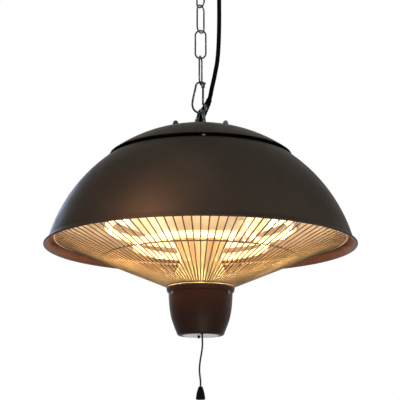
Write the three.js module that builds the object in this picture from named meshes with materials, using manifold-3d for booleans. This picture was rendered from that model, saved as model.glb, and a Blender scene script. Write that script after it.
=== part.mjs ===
// A hanging patio heater on its chain: a spun shade over two ring lamps, a wire guard,
// a switch housing with a pull cord, and a mains lead whose spare length is coiled at the ceiling.
// Millimetres, +Z up. The origin is the centre of the ceiling plate's top face.
import * as THREE from "three";
import { mergeVertices } from "three/addons/utils/BufferGeometryUtils.js";
import Module from "manifold-3d";

const wasm = await Module();
wasm.setup();

// Clearances
const seatGap = 0.3;
const holeGap = 0.35;
const cutOverrun = 2;

// Ceiling plate and hook
const plateRadius = 42;
const plateThickness = 4;
const plateScrewSpread = 31;
const screwHeadRadius = 4;
const screwHeadHeight = 2.4;
const screwShankRadius = 2;
const plateScrewTurns = [-50, -130];
const hookDrop = 74;
const hookWire = 5;
const hookBend = 12;
const hookMouth = 9;
const hookFootRadius = 9;
const hookFootHeight = 3;
const hookNeckShares = [[0, 3], [-0.33, 2.1]];
const hookTurn = -46;

// Chain
const linkLength = 44;
const linkWidth = 17.2;
const linkWire = 2.4;
const linkTurns = [44, -46, 50, 0, 76];
const linkSwing = 15;

// Snap hook
const snapWire = 3;
const snapLength = 45;
const snapOutlineShares = [
  [0.151, -0.722], [0.169, -0.822], [0.142, -0.92], [0.076, -0.98], [0, -1],
  [-0.102, -0.98], [-0.198, -0.907], [-0.253, -0.778], [-0.244, -0.6], [-0.2, -0.378],
  [-0.156, -0.178], [-0.138, -0.09], [-0.093, -0.027], [0, 0], [0.084, -0.022], [0.127, -0.075],
];
const gateWire = 3.2;
const gatePinShares = [0.075, -0.133];
const gateTipShares = [0.073, -0.737];
const gateEyeRadius = 2.6;
const gateEyeWidth = 2.8;
const gatePinRadius = 0.9;
const cheekRadius = 2.8;
const cheekThickness = 1.1;
const snapSwing = 15;

// Hanging eye
const eyeWire = 4;
const eyeRise = 26.6;
const eyeHalfWidth = 12;
const eyeTurn = -60;
const eyeLegBelowCap = 13;
const eyePlateLength = 30;
const eyePlateWidth = 12;
const eyePlateThickness = 3;
const eyeNutAcross = 7;
const eyeNutHeight = 4.5;
const heaterSwing = 15;

// Top cap
const capEdgeRadius = 125.5;
const capRise = 42;
const capWall = 1.5;
const ventGap = 6;
const capBoltSpread = 48;
const capBoltHeadRadius = 4.2;
const capBoltHeadHeight = 6.5;
const capBoltShankRadius = 2.5;
const capBoltTail = 4;
const capBoltHeadShares = [[1, 0], [1, 0.4], [0.86, 0.7], [0.5, 0.93]];
const capBoltTurns = [45, 135, 225, 315];

// Shade
const shadeBaseRadius = 206.8;
const shadeOpeningRadius = 128;
const shadeHeight = 119.5;
const shadeWall = 1.5;
const shadeFlangeWidth = 16;
const lipRadius = 212.5;
const lipRise = 9;
const lipBead = 1.4;

// Ring between shade and cap, and the carrier plate under the shade's flange
const ringInset = 10.5;
const ringWall = 1.6;
const ringScrewHeadRadius = 2.6;
const ringScrewHeadHeight = 1.6;
const ringScrewShankRadius = 1.5;
const ringScrewTail = 4;
const ringScrewTurns = [-88, 32, 152];
const carrierThickness = 2;
const carrierOverlap = 10;

// Centre tube, column and reflector
const tubeRadius = 13;
const tubeWall = 2;
const tubeFlangeRadius = 56;
const tubeFlangeThickness = 2;
const tubeTail = 8;
const tubeNutRadius = 17;
const tubeNutHeight = 5;
const columnTopRadius = 40;
const columnTopHeight = 13;
const columnWaistRadius = 27.8;
const columnFootRadius = 41;
const columnWall = 1.2;
const reflectorEdgeRadius = 150;
const reflectorRise = 46;
const reflectorWall = 1.2;

// Ring lamps
const innerLampRadius = 88;
const innerLampHeight = 1;
const outerLampRadius = 125;
const outerLampHeight = 26;
const lampTubeRadius = 5;
const lampEndShare = 0.003;
const lampCapRadius = 6.4;
const lampCapLength = 10.5;
const lampHolderWidth = 9;
const lampHolderDepth = 15;
const lampHolderDrop = 8;
const innerLampTurn = -50;
const outerLampTurn = -12;

// Guard
const guardOuterHeight = 9;
const guardBottomRadius = 46;
const guardBottomHeight = -53.2;
const guardWire = 1.8;
const guardRingWire = 2.6;
const guardWireCount = 104;
const guardHoopRadius = 131.5;
const guardHoopWire = 2.4;

// Switch housing
const collarTopRadius = 46;
const collarDepth = 6.2;
const collarTaper = 1.4;
const collarWall = 2;
const housingRadius = 43.2;
const housingFootRadius = 29.6;
const housingDepth = 62;
const housingWall = 2;
const housingFloor = 2.4;
const housingScrewRadius = 2.2;
const housingScrewHead = 1.4;
const housingScrewTail = 4;
const housingScrewDrop = 3;
const housingScrewTurns = [-30.5, 210.5];
const basePlateRadius = 24.4;
const basePlateThickness = 3;
const basePlateStand = 0.4;
const baseKnobRadius = 1.8;
const baseKnobHeight = 3;
const baseKnobX = -2.3;

// Pull switch
const pullCordDiameter = 2.3;
const pullCordX = 2.1;
const pullCordInset = 2.8;
const pullCordHang = 68;
const guideWall = 0.5;
const guideFlange = 0.4;
const knobLength = 17;
const knobRadius = 6.1;
const knobShares = [[0.8, 0], [1, 0.1], [0.84, 0.5], [0.54, 0.88], [0.38, 1]];
const drumRadius = 8;
const drumWidth = 5;
const drumAxleRadius = 2;
const drumAxleLength = 13;
const drumHeightAboveFloor = 29;
const switchBodyWidth = 16;
const switchBodyDepth = 18;
const switchBodyDrop = 9;
const terminalLength = 34;
const terminalWidth = 16;
const terminalHeight = 13;

// Mains lead
const cordDiameter = 6.3;
const glandX = -2;
const glandY = 22;
const glandRadius = 8;
const glandNeckRadius = 5;
const glandTail = 8;
const bootBottomRadius = 7;
const bootTopRadius = 3.9;
const coilMiddleRadius = 37.3;
const coilPitch = 6.8;
const coilTurns = 6.25;
const clipWall = 1.5;
const clipWidth = 10;
const clipLug = 12;
const plugRadius = 19;
const plugThickness = 20;
const plugReliefLength = 22;
const plugReliefTip = 4;
const plugReliefRoot = 6.5;
const plugPinRadius = 2.4;
const plugPinLength = 19;
const plugPinSpacing = 19;

// The lead's route from the boot's tip up to the coil, chosen by hand, from the cap's top
const leadRoute = [
  [12.6, 22, 50.2], [13.8, 22, 54.3], [15.5, 22, 63.4], [17.4, 22, 72.3], [19.4, 22, 81.3],
  [21.1, 22, 90.3], [22.8, 22, 99.5], [24.1, 22, 108.5], [25.6, 22, 126.7], [26.6, 22, 154.2],
  [26.9, 22, 177.5], [26.9, 22, 200.7], [26.9, 22, 232.5], [26.9, 22, 252.5],
];
// The boot's bend from the gland up to the lead, chosen by hand in the same places
const bootRoute = [
  [-2, 22, 11.3], [-2, 22, 15.1], [-1.9, 22, 18.9], [-0.2, 22, 24.9], [3.2, 22, 31.5],
  [7.2, 22, 38.3], [10.4, 22, 44.1], [12.5, 22, 49.8],
];
// The tail from the coil's end to the plug, chosen by hand, from the coil's centre in its back layer
const tailRoute = [
  [-6.6, 0, 47.9], [-12, 0.3, 47.6], [-18, 1.6, 46.1], [-24, 4.2, 42.6], [-29.4, 7.4, 36.8],
  [-33.4, 10.4, 29.4], [-35.6, 12.8, 21], [-36.5, 13.9, 14], [-36.5, 14, 8],
];
// The pull cord's slight waves under the housing, chosen by hand, from its exit
const pullRoute = [
  [0, 0, 0], [0, 0, -6], [0.3, 0, -12], [0, 0, -18], [-0.9, 0.2, -25], [-2.3, 0.4, -33], [-3.3, 0.3, -41],
  [-3.6, 0, -48], [-3, -0.2, -55], [-2.2, 0, -62], [-2.2, 0, -68],
];

const circleSteps = 32;
const housingSteps = 28;
const smallSteps = 12;
const wireSides = 6;
const arcSteps = 6;
const hookSteps = 12;
const snapSteps = 24;
const nutSides = 6;
const flareSteps = 3;
const coilSteps = 24;
const weldReach = 1e-4;
const full = 2 * Math.PI;
const up = new THREE.Vector3(0, 0, 1);
const across = new THREE.Vector3(0, 1, 0);

const radians = THREE.MathUtils.degToRad;
const { abs, asin, atan2, cos, hypot, max, min, sin, sqrt } = Math;

// Solids

function merged(geometry) {
  const plain = geometry.index ? geometry : mergeVertices(geometry);
  plain.deleteAttribute("normal");
  plain.deleteAttribute("uv");
  const whole = mergeVertices(plain, weldReach);
  const index = whole.getIndex().array;
  const kept = [];
  for (let i = 0; i < index.length; i += 3) {
    const [a, b, c] = [index[i], index[i + 1], index[i + 2]];
    if (a !== b && b !== c && c !== a) kept.push(a, b, c);
  }
  whole.setIndex(kept);
  return volume(whole) < 0 ? flipped(whole) : whole;
}

function volume(geometry) {
  const position = geometry.getAttribute("position");
  const index = geometry.getIndex().array;
  const a = new THREE.Vector3();
  const b = new THREE.Vector3();
  const c = new THREE.Vector3();
  let sum = 0;
  for (let i = 0; i < index.length; i += 3) {
    a.fromBufferAttribute(position, index[i]);
    b.fromBufferAttribute(position, index[i + 1]);
    c.fromBufferAttribute(position, index[i + 2]);
    sum += a.dot(b.cross(c));
  }
  return sum / 6;
}

function flipped(geometry) {
  const index = Array.from(geometry.getIndex().array);
  for (let i = 0; i < index.length; i += 3) {
    [index[i + 1], index[i + 2]] = [index[i + 2], index[i + 1]];
  }
  geometry.setIndex(index);
  return geometry;
}

function solid(geometry) {
  const whole = merged(geometry);
  return new wasm.Manifold(new wasm.Mesh({
    numProp: 3,
    vertProperties: new Float32Array(whole.getAttribute("position").array),
    triVerts: new Uint32Array(whole.getIndex().array),
  }));
}

function geometryOf(body) {
  const mesh = body.getMesh();
  const geometry = new THREE.BufferGeometry();
  geometry.setAttribute("position", new THREE.BufferAttribute(new Float32Array(mesh.vertProperties), 3));
  geometry.setIndex(Array.from(mesh.triVerts));
  return geometry;
}

function cut(geometry, ...tools) {
  let body = solid(geometry);
  for (const tool of tools) body = body.subtract(solid(tool));
  return geometryOf(body);
}

function join(geometry, ...others) {
  let body = solid(geometry);
  for (const other of others) body = body.add(solid(other));
  return geometryOf(body);
}

// A closed outline of [radius, height] points turned round the Z axis
function turned(outline, steps = circleSteps) {
  const points = outline.map(([radius, height]) => new THREE.Vector2(max(radius, 0), height));
  if (outline[0][0] > 0) points.push(points[0].clone());
  return new THREE.LatheGeometry(points, steps).rotateX(Math.PI / 2);
}

// An upright cylinder or cone between two heights
function upright(bottomRadius, topRadius, bottom, top, steps = smallSteps) {
  const geometry = new THREE.CylinderGeometry(topRadius, bottomRadius, top - bottom, steps);
  return geometry.rotateX(Math.PI / 2).translate(0, 0, (bottom + top) / 2);
}

// A cylinder that starts at a point and runs along a direction
function rod(radius, length, start, direction, steps = smallSteps) {
  const geometry = new THREE.CylinderGeometry(radius, radius, length, steps);
  const turn = new THREE.Quaternion().setFromUnitVectors(across, direction.clone().normalize());
  const middle = start.clone().addScaledVector(direction.clone().normalize(), length / 2);
  return geometry.applyQuaternion(turn).translate(middle.x, middle.y, middle.z);
}

function block(low, high) {
  const size = high.clone().sub(low);
  const middle = low.clone().add(high).multiplyScalar(1 / 2);
  return new THREE.BoxGeometry(size.x, size.y, size.z).translate(middle.x, middle.y, middle.z);
}

// A round wire through the points given, each ring square to the line; flat lines name their plane's normal
function wire(points, radiusAt, normal, closed = false, sides = wireSides) {
  const positions = [];
  const index = [];
  const count = points.length;
  points.forEach((point, i) => {
    const before = closed ? points[(i + count - 1) % count] : points[max(i - 1, 0)];
    const after = closed ? points[(i + 1) % count] : points[min(i + 1, count - 1)];
    const along = after.clone().sub(before).normalize();
    const first = normal.clone().cross(along).normalize();
    const second = along.clone().cross(first);
    for (let k = 0; k < sides; k += 1) {
      const angle = ((k + 1 / 2) / sides) * full;
      const place = point.clone();
      place.addScaledVector(first, radiusAt(i / (count - 1)) * cos(angle));
      place.addScaledVector(second, radiusAt(i / (count - 1)) * sin(angle));
      positions.push(place.x, place.y, place.z);
    }
  });
  const spans = closed ? count : count - 1;
  for (let i = 0; i < spans; i += 1) {
    const next = (i + 1) % count;
    for (let k = 0; k < sides; k += 1) {
      const beside = (k + 1) % sides;
      index.push(i * sides + k, i * sides + beside, next * sides + beside);
      index.push(i * sides + k, next * sides + beside, next * sides + k);
    }
  }
  if (!closed) {
    for (let k = 1; k < sides - 1; k += 1) {
      index.push(0, k + 1, k);
      index.push(spans * sides, spans * sides + k, spans * sides + k + 1);
    }
  }
  const geometry = new THREE.BufferGeometry();
  geometry.setAttribute("position", new THREE.Float32BufferAttribute(positions, 3));
  geometry.setIndex(index);
  return geometry;
}

// A round cord along a smooth line through the points of its route
function cord(route, diameter, sides, steps) {
  const section = new THREE.Shape();
  section.absarc(0, 0, diameter / 2, 0, full, false);
  const path = new THREE.CatmullRomCurve3(route.map((place) => new THREE.Vector3(...place)));
  const settings = { steps, extrudePath: path, bevelEnabled: false, curveSegments: sides / 2 };
  return new THREE.ExtrudeGeometry(section, settings);
}

function arcPoints(centre, radius, from, to, steps) {
  const points = [];
  for (let i = 0; i <= steps; i += 1) {
    const angle = from + ((to - from) * i) / steps;
    points.push([centre[0] + radius * cos(angle), centre[1] + radius * sin(angle)]);
  }
  return points;
}

function smoothPoints(places, steps) {
  const curve = new THREE.SplineCurve(places.map((place) => new THREE.Vector2(...place)));
  return curve.getPoints(steps).map((point) => [point.x, point.y]);
}

// Heights and lines that mating pieces share

// The sphere whose surface passes through two [radius, height] places
function domeThrough(low, high) {
  const centre = (high[0] ** 2 + high[1] ** 2 - low[0] ** 2 - low[1] ** 2) / (2 * (high[1] - low[1]));
  return { centre, radius: hypot(low[0], low[1] - centre) };
}

function domeArc(dome, wall, fromHeight, toHeight, steps) {
  const radius = dome.radius - wall;
  const from = asin(min((fromHeight - dome.centre) / radius, 1));
  const to = asin(min((toHeight - dome.centre) / radius, 1));
  return arcPoints([0, dome.centre], radius, from, to, steps);
}

const domeHeightAt = (dome, wall, r) => dome.centre + sqrt((dome.radius - wall) ** 2 - r ** 2);
const domeRadiusAt = (dome, wall, z) => sqrt((dome.radius - wall) ** 2 - (z - dome.centre) ** 2);

// The middle line of a chain link, hung from its top arc at height 0
function linkLine(steps) {
  const radius = (linkWidth - linkWire) / 2;
  const drop = linkLength - linkWire;
  const points = [];
  for (let i = 0; i <= steps; i += 1) {
    const angle = (i / steps) * Math.PI;
    points.push(new THREE.Vector3(radius * cos(angle), 0, radius * sin(angle) - radius));
  }
  for (let i = 0; i <= steps; i += 1) {
    const angle = Math.PI + (i / steps) * Math.PI;
    points.push(new THREE.Vector3(radius * cos(angle), 0, radius * sin(angle) + radius - drop));
  }
  return points;
}

const snapPoint = ([x, z]) => new THREE.Vector3(x * snapLength, 0, z * snapLength);

function snapLine(steps) {
  return new THREE.CatmullRomCurve3(snapOutlineShares.map(snapPoint)).getPoints(steps);
}

function eyeLine(steps, foot) {
  const points = [new THREE.Vector3(eyeHalfWidth, 0, foot)];
  for (let i = 0; i <= steps; i += 1) {
    const angle = (i / steps) * Math.PI;
    const height = (eyeHalfWidth - eyeWire / 4) * (sin(angle) - 1);
    points.push(new THREE.Vector3(eyeHalfWidth * cos(angle), 0, height));
  }
  points.push(new THREE.Vector3(-eyeHalfWidth, 0, foot));
  return points;
}

// The hook's middle line, from its foot down its shank and round to its mouth; its bend's lowest place is 0
function hookLine(steps) {
  const points = [new THREE.Vector3(0, 0, hookDrop - plateThickness - seatGap - hookFootHeight)];
  for (const [out, rise] of hookNeckShares) {
    points.push(new THREE.Vector3(hookBend * out, 0, hookBend * rise));
  }
  const open = atan2(hookMouth, hookBend);
  for (let i = 0; i <= steps; i += 1) {
    const angle = Math.PI + ((Math.PI + open) * i) / steps;
    points.push(new THREE.Vector3(hookBend * cos(angle), 0, hookBend * (sin(angle) + 1)));
  }
  return points;
}

const raised = (line, height) => line.map((point) => new THREE.Vector3(point.x, point.y, point.z + height));
const turnedLine = (line, turn) => line.map((point) => point.clone().applyAxisAngle(up, radians(turn)));

// How far a hanging piece's top arc lies over the arc that holds it, so that its wire stays clear
// of the holder's at rest and swung either way about the holder's own wire
function seatHeight(holder, hung, wires, swing) {
  const need = wires / 2 + seatGap;
  const axis = holder.direction;
  let height = need;
  const fineStep = seatGap / 6;
  const clear = () => swingShares.every((share) => {
    const moved = raised(hung, height).map((point) => point.applyAxisAngle(axis, radians(share * swing)));
    return moved.every((point) => holder.line.every((other) => point.distanceTo(other) >= need));
  });
  while (!clear()) height += fineStep;
  return height;
}

// The places along a line's straight pieces that lie near its contact with another
function contactPlaces(line) {
  const places = [];
  for (let i = 1; i < line.length; i += 1) {
    for (let k = 0; k < fineSteps; k += 1) places.push(line[i - 1].clone().lerp(line[i], k / fineSteps));
  }
  return places.filter((point) => abs(point.z) < linkWidth);
}

const direction = (turn) => new THREE.Vector3(1, 0, 0).applyAxisAngle(up, radians(turn));
const swingShares = [-1, -2 / 3, -1 / 3, 0, 1 / 3, 2 / 3, 1];
const fineSteps = 12;
const linkDrop = linkLength - linkWire;

const hookZ = -hookDrop;
const linkTops = [];
let heldBy = {
  z: hookZ,
  wire: hookWire,
  direction: direction(hookTurn),
  line: contactPlaces(turnedLine(hookLine(hookSteps), hookTurn)),
};
for (const turn of linkTurns) {
  const line = turnedLine(linkLine(arcSteps), turn);
  const top = heldBy.z + seatHeight(heldBy, contactPlaces(line), heldBy.wire + linkWire, linkSwing);
  linkTops.push(top);
  heldBy = {
    z: top - linkDrop,
    wire: linkWire,
    direction: direction(turn),
    line: contactPlaces(raised(line, linkDrop)),
  };
}
const snapHead = contactPlaces(snapLine(snapSteps));
const snapTop = heldBy.z + seatHeight(heldBy, snapHead, linkWire + snapWire, snapSwing);
const snapBottom = snapTop - snapLength;
const eyeHolder = { direction: direction(0), line: contactPlaces(raised(snapLine(snapSteps), snapLength)) };
const eyeHead = contactPlaces(turnedLine(eyeLine(arcSteps, -eyeRise), eyeTurn));
const eyeTop = snapBottom + seatHeight(eyeHolder, eyeHead, snapWire + eyeWire, heaterSwing);

// Heights over the rim plane
const capEdge = shadeHeight + ventGap;
const capTop = capEdge + capRise;
const rimZ = eyeTop - eyeRise - capTop;
const shade = domeThrough([shadeBaseRadius, 0], [shadeOpeningRadius, shadeHeight]);
const cap = domeThrough([capEdgeRadius, capEdge], [0, capTop]);
const ringOuter = shadeOpeningRadius - ringInset;
const ringTop = domeHeightAt(cap, capWall, ringOuter) - seatGap;
const flangeInner = shadeOpeningRadius - shadeFlangeWidth;
const flangeBottom = shadeHeight - shadeWall;
const carrierTop = flangeBottom - seatGap;
const carrierBottom = carrierTop - carrierThickness;
const tubeTop = carrierBottom - seatGap;
const guardRing = guardRingWire / 2;
const flatShare = cos(Math.PI / circleSteps);
const shadeInside = domeRadiusAt(shade, shadeWall, guardOuterHeight + guardRing) * flatShare;
const guardOuterRadius = shadeInside - seatGap - guardRing;
const guardSlope = (guardOuterHeight - guardBottomHeight) / (guardOuterRadius - guardBottomRadius);
const guardHeightAt = (radius) => guardBottomHeight + (radius - guardBottomRadius) * guardSlope;
const collarTop = guardHeightAt(guardBottomRadius - guardRing) - guardRing - seatGap;
const collarBottom = collarTop - collarDepth;
const housingTop = collarTop - collarWall - seatGap;
const housingBottom = housingTop - housingDepth;
const columnFoot = collarTop + seatGap;
const reflectorFoot = columnTopHeight + seatGap;
const pullCordY = -(housingFootRadius - pullCordInset);

// Ceiling pieces

function ceilingPlate() {
  const holes = screwPlaces().map(([x, y]) => {
    return upright(screwShankRadius + holeGap, screwShankRadius + holeGap,
      -plateThickness - cutOverrun, cutOverrun).translate(x, y, 0);
  });
  return cut(upright(plateRadius, plateRadius, -plateThickness, 0, circleSteps), ...holes);
}

function screwPlaces() {
  return plateScrewTurns.map((turn) => {
    return [plateScrewSpread * cos(radians(turn)), plateScrewSpread * sin(radians(turn))];
  });
}

function plateScrew([x, y]) {
  const under = -plateThickness - seatGap;
  const head = turned([
    [0, under - screwHeadHeight], [screwHeadRadius / 2, under - screwHeadHeight],
    [screwHeadRadius, under - screwHeadHeight / 3], [screwHeadRadius, under], [0, under],
  ], smallSteps);
  const shank = upright(screwShankRadius, screwShankRadius, under - screwHeadHeight / 2, -seatGap);
  return join(head, shank).translate(x, y, 0);
}

function ceilingHook() {
  const under = -plateThickness - seatGap;
  const foot = upright(hookWire / 2 + hookFootHeight / 2, hookFootRadius, under - hookFootHeight, under);
  const line = raised(hookLine(hookSteps), hookZ);
  line[0].z += hookFootHeight / 2;
  const shank = wire(line, () => hookWire / 2, across);
  return join(foot, shank).rotateZ(radians(hookTurn));
}

// Chain and snap hook

function chainLink(i) {
  const line = turnedLine(linkLine(arcSteps), linkTurns[i]);
  const normal = across.clone().applyAxisAngle(up, radians(linkTurns[i]));
  return wire(line, () => linkWire / 2, normal, true).translate(0, 0, linkTops[i]);
}

function snapBody() {
  const body = wire(snapLine(snapSteps), () => snapWire / 2, across);
  const pin = snapPoint(gatePinShares);
  const end = snapPoint(snapOutlineShares.at(-1));
  const inner = gateEyeWidth / 2 + seatGap;
  const pieces = [-1, 1].map((side) => {
    const start = new THREE.Vector3(pin.x, side * inner, pin.z);
    return rod(cheekRadius, cheekThickness, start, new THREE.Vector3(0, side, 0), 2 * wireSides);
  });
  const webLow = pin.z + gateEyeRadius + seatGap;
  const outer = inner + cheekThickness;
  const web = block(
    new THREE.Vector3(pin.x - cheekRadius / 2, -outer, webLow),
    new THREE.Vector3(end.x + snapWire / 2, outer, webLow + snapWire),
  );
  const ears = [-1, 1].map((side) => {
    return block(
      new THREE.Vector3(pin.x - cheekRadius / 2, min(side * inner, side * outer), pin.z),
      new THREE.Vector3(end.x, max(side * inner, side * outer), webLow + snapWire),
    );
  });
  const bore = rod(gatePinRadius + holeGap, 2 * outer + 2 * cutOverrun,
    new THREE.Vector3(pin.x, -outer - cutOverrun, pin.z), across, 2 * wireSides);
  const reliefStart = new THREE.Vector3(pin.x, -inner, pin.z);
  const relief = rod(gateEyeRadius + seatGap, 2 * inner, reliefStart, across, 2 * smallSteps);
  return cut(join(body, web, ...pieces, ...ears), relief, bore).translate(0, 0, snapTop);
}

function snapGate() {
  const pin = snapPoint(gatePinShares);
  const tip = snapPoint(gateTipShares);
  const along = tip.clone().sub(pin).normalize();
  const bar = rod(gateWire / 2, tip.distanceTo(pin) - gateEyeRadius / 2,
    pin.clone().addScaledVector(along, gateEyeRadius / 2), along, smallSteps);
  const eye = rod(gateEyeRadius, gateEyeWidth, new THREE.Vector3(pin.x, -gateEyeWidth / 2, pin.z), across);
  const bore = rod(gatePinRadius + holeGap, gateEyeWidth + 2 * cutOverrun,
    new THREE.Vector3(pin.x, -gateEyeWidth / 2 - cutOverrun, pin.z), across, 2 * wireSides);
  const slab = gateWire / 2 - seatGap;
  const flats = [-1, 1].map((side) => {
    const near = side * gateEyeWidth / 2;
    const far = side * (gateEyeWidth / 2 + gateWire);
    return block(
      new THREE.Vector3(pin.x - cheekRadius - slab, min(near, far), pin.z - cheekRadius - slab),
      new THREE.Vector3(pin.x + cheekRadius + slab, max(near, far), pin.z + cheekRadius + slab),
    );
  });
  return cut(join(bar, eye), bore, ...flats).translate(0, 0, snapTop);
}

function gatePin() {
  const pin = snapPoint(gatePinShares);
  const outer = gateEyeWidth / 2 + seatGap + cheekThickness;
  const start = new THREE.Vector3(pin.x, -outer, pin.z + snapTop);
  return rod(gatePinRadius, 2 * outer, start, across, 2 * wireSides);
}

// Hanging eye and cap, from the rim plane

const eyeFoot = capTop - capWall - eyeLegBelowCap;
const eyePlateTop = domeHeightAt(cap, capWall, hypot(eyePlateLength, eyePlateWidth) / 2) - seatGap;
const eyePlateBottom = eyePlateTop - eyePlateThickness;

function eyeLegPlaces() {
  return [1, -1].map((side) => direction(eyeTurn).multiplyScalar(side * eyeHalfWidth));
}

function legHoles(radius, bottom, top) {
  return eyeLegPlaces().map((place) => upright(radius, radius, bottom, top).translate(place.x, place.y, 0));
}

function hangingEye() {
  const top = capTop + eyeRise;
  const line = eyeLine(arcSteps, eyeFoot - top);
  const normal = across.clone().applyAxisAngle(up, radians(eyeTurn));
  return wire(turnedLine(line, eyeTurn), () => eyeWire / 2, normal).translate(0, 0, top);
}

function eyePlate() {
  const plate = block(
    new THREE.Vector3(-eyePlateLength / 2, -eyePlateWidth / 2, eyePlateBottom),
    new THREE.Vector3(eyePlateLength / 2, eyePlateWidth / 2, eyePlateTop),
  ).rotateZ(radians(eyeTurn));
  const holes = legHoles(eyeWire / 2 + holeGap, eyePlateBottom - cutOverrun, eyePlateTop + cutOverrun);
  return cut(plate, ...holes);
}

function eyeNut(place) {
  const radius = eyeNutAcross / 2 / cos(Math.PI / nutSides);
  const top = eyePlateBottom - seatGap;
  const nut = upright(radius, radius, top - eyeNutHeight, top, nutSides);
  const bore = upright(eyeWire / 2 + holeGap, eyeWire / 2 + holeGap,
    top - eyeNutHeight - cutOverrun, top + cutOverrun);
  return cut(nut, bore).translate(place.x, place.y, 0);
}

function boltPlaces() {
  return capBoltTurns.map((turn) => direction(turn).multiplyScalar(capBoltSpread));
}

function boltHoles(bottom, top) {
  const radius = capBoltShankRadius + holeGap;
  return boltPlaces().map((place) => upright(radius, radius, bottom, top).translate(place.x, place.y, 0));
}

function topCap() {
  const outline = [
    ...domeArc(cap, 0, capEdge, capTop, arcSteps).slice(0, -1), [0, capTop],
    [0, capTop - capWall], ...domeArc(cap, capWall, capTop - capWall, capEdge, arcSteps).slice(1),
  ];
  const shell = turned(outline, circleSteps);
  const low = capEdge;
  const high = capTop + cutOverrun;
  const glandHole = upright(glandNeckRadius + holeGap, glandNeckRadius + holeGap, low, high)
    .translate(glandX, glandY, 0);
  return cut(shell, glandHole, ...legHoles(eyeWire / 2 + holeGap, low, high), ...boltHoles(low, high));
}

function capBolt(place) {
  const seat = domeHeightAt(cap, 0, hypot(place.x, place.y) - capBoltHeadRadius) + seatGap;
  const bottom = tubeTop - tubeFlangeThickness - capBoltTail;
  const head = capBoltHeadShares.map(([out, rise]) => {
    return [capBoltHeadRadius * out, seat + capBoltHeadHeight * rise];
  });
  return turned([
    [0, bottom], [capBoltShankRadius, bottom], [capBoltShankRadius, seat],
    ...head, [0, seat + capBoltHeadHeight],
  ], smallSteps).translate(place.x, place.y, 0);
}

// Shade, ring and carrier

function shadeDome() {
  const start = domeRadiusAt(shade, 0, lipRise);
  const flare = new THREE.QuadraticBezierCurve(
    new THREE.Vector2(lipRadius - lipBead, 2 * lipBead),
    new THREE.Vector2(start + lipBead, lipRise / 3),
    new THREE.Vector2(start, lipRise),
  ).getPoints(flareSteps).map((point) => [point.x, point.y]);
  const inside = new THREE.QuadraticBezierCurve(
    new THREE.Vector2(start - shadeWall, lipRise),
    new THREE.Vector2(start - lipBead / 2, lipRise / 3 - shadeWall),
    new THREE.Vector2(lipRadius - lipBead, 0),
  ).getPoints(flareSteps).map((point) => [point.x, point.y]);
  const bead = arcPoints([lipRadius - lipBead, lipBead], lipBead, -Math.PI / 2, Math.PI / 2, flareSteps + 1);
  return turned([
    ...bead.slice(1, -1), ...flare,
    ...domeArc(shade, 0, lipRise, shadeHeight, arcSteps).slice(1),
    [flangeInner, shadeHeight], [flangeInner, flangeBottom],
    ...domeArc(shade, shadeWall, flangeBottom, lipRise, arcSteps).slice(0, -1),
    ...inside,
  ]);
}

function spacerRing() {
  const bottom = shadeHeight + seatGap;
  const inner = ringOuter - ringWall;
  const band = turned([[ringOuter, bottom], [ringOuter, ringTop], [inner, ringTop], [inner, bottom]]);
  const holes = ringScrewTurns.map((turn) => {
    const start = direction(turn).multiplyScalar(ringOuter - ringWall - cutOverrun);
    start.z = ringScrewZ;
    return rod(ringScrewShankRadius + holeGap, ringWall + 2 * cutOverrun, start, direction(turn));
  });
  return cut(band, ...holes);
}

const ringScrewZ = (shadeHeight + ringTop) / 2;

function ringScrew(turn) {
  const out = direction(turn);
  const seat = out.clone().multiplyScalar(ringOuter + seatGap);
  seat.z = ringScrewZ;
  const head = rod(ringScrewHeadRadius, ringScrewHeadHeight, seat, out);
  const tail = out.clone().multiplyScalar(ringOuter - ringWall - ringScrewTail);
  tail.z = ringScrewZ;
  const length = ringWall + ringScrewTail + seatGap + ringScrewHeadHeight / 2;
  return join(head, rod(ringScrewShankRadius, length, tail, out));
}

function carrierPlate() {
  const radius = flangeInner + carrierOverlap;
  const disc = upright(radius, radius, carrierBottom, carrierTop, circleSteps);
  const wireway = upright(tubeRadius - tubeWall, tubeRadius - tubeWall,
    carrierBottom - cutOverrun, carrierTop + cutOverrun);
  return cut(disc, wireway, ...boltHoles(carrierBottom - cutOverrun, carrierTop + cutOverrun));
}

// Column, tube and reflector

function centreTube() {
  const bottom = collarTop - collarWall - tubeTail;
  const tube = turned([
    [tubeRadius, bottom], [tubeRadius, tubeTop - tubeFlangeThickness],
    [tubeFlangeRadius, tubeTop - tubeFlangeThickness], [tubeFlangeRadius, tubeTop],
    [tubeRadius - tubeWall, tubeTop], [tubeRadius - tubeWall, bottom],
  ], housingSteps);
  return cut(tube, ...boltHoles(tubeTop - tubeFlangeThickness - cutOverrun, tubeTop + cutOverrun));
}

function tubeNut() {
  const top = collarTop - collarWall - seatGap;
  const bore = tubeRadius + seatGap;
  return turned([
    [tubeNutRadius, top - tubeNutHeight], [tubeNutRadius, top], [bore, top], [bore, top - tubeNutHeight],
  ], housingSteps);
}

// The column's outside, as shares of the way from its foot's radius down to its waist's, by height
const columnShares = [[0, 0], [0.5, 0.28], [0.86, 0.42], [1, 0.53], [0.62, 0.78], [0.08, 1]];

function centreColumn() {
  const outside = columnShares.map(([narrowing, rise]) => [
    columnFootRadius - narrowing * (columnFootRadius - columnWaistRadius),
    columnFoot + rise * (columnTopHeight - columnFoot),
  ]);
  const inside = outside.map(([radius, height]) => [radius - columnWall, height]).reverse();
  return turned([...outside, ...inside], housingSteps);
}

// The reflector's underside, as shares of the way out to its edge and of its rise
const reflectorShares = [[0, 0], [0.2, 0.08], [0.45, 0.29], [0.74, 0.61], [1, 1]];

function reflectorUnderside(steps) {
  const reach = reflectorEdgeRadius - columnTopRadius;
  return smoothPoints(reflectorShares.map(([out, rise]) => {
    return [columnTopRadius + out * reach, reflectorFoot + rise * reflectorRise];
  }), steps);
}

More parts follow.
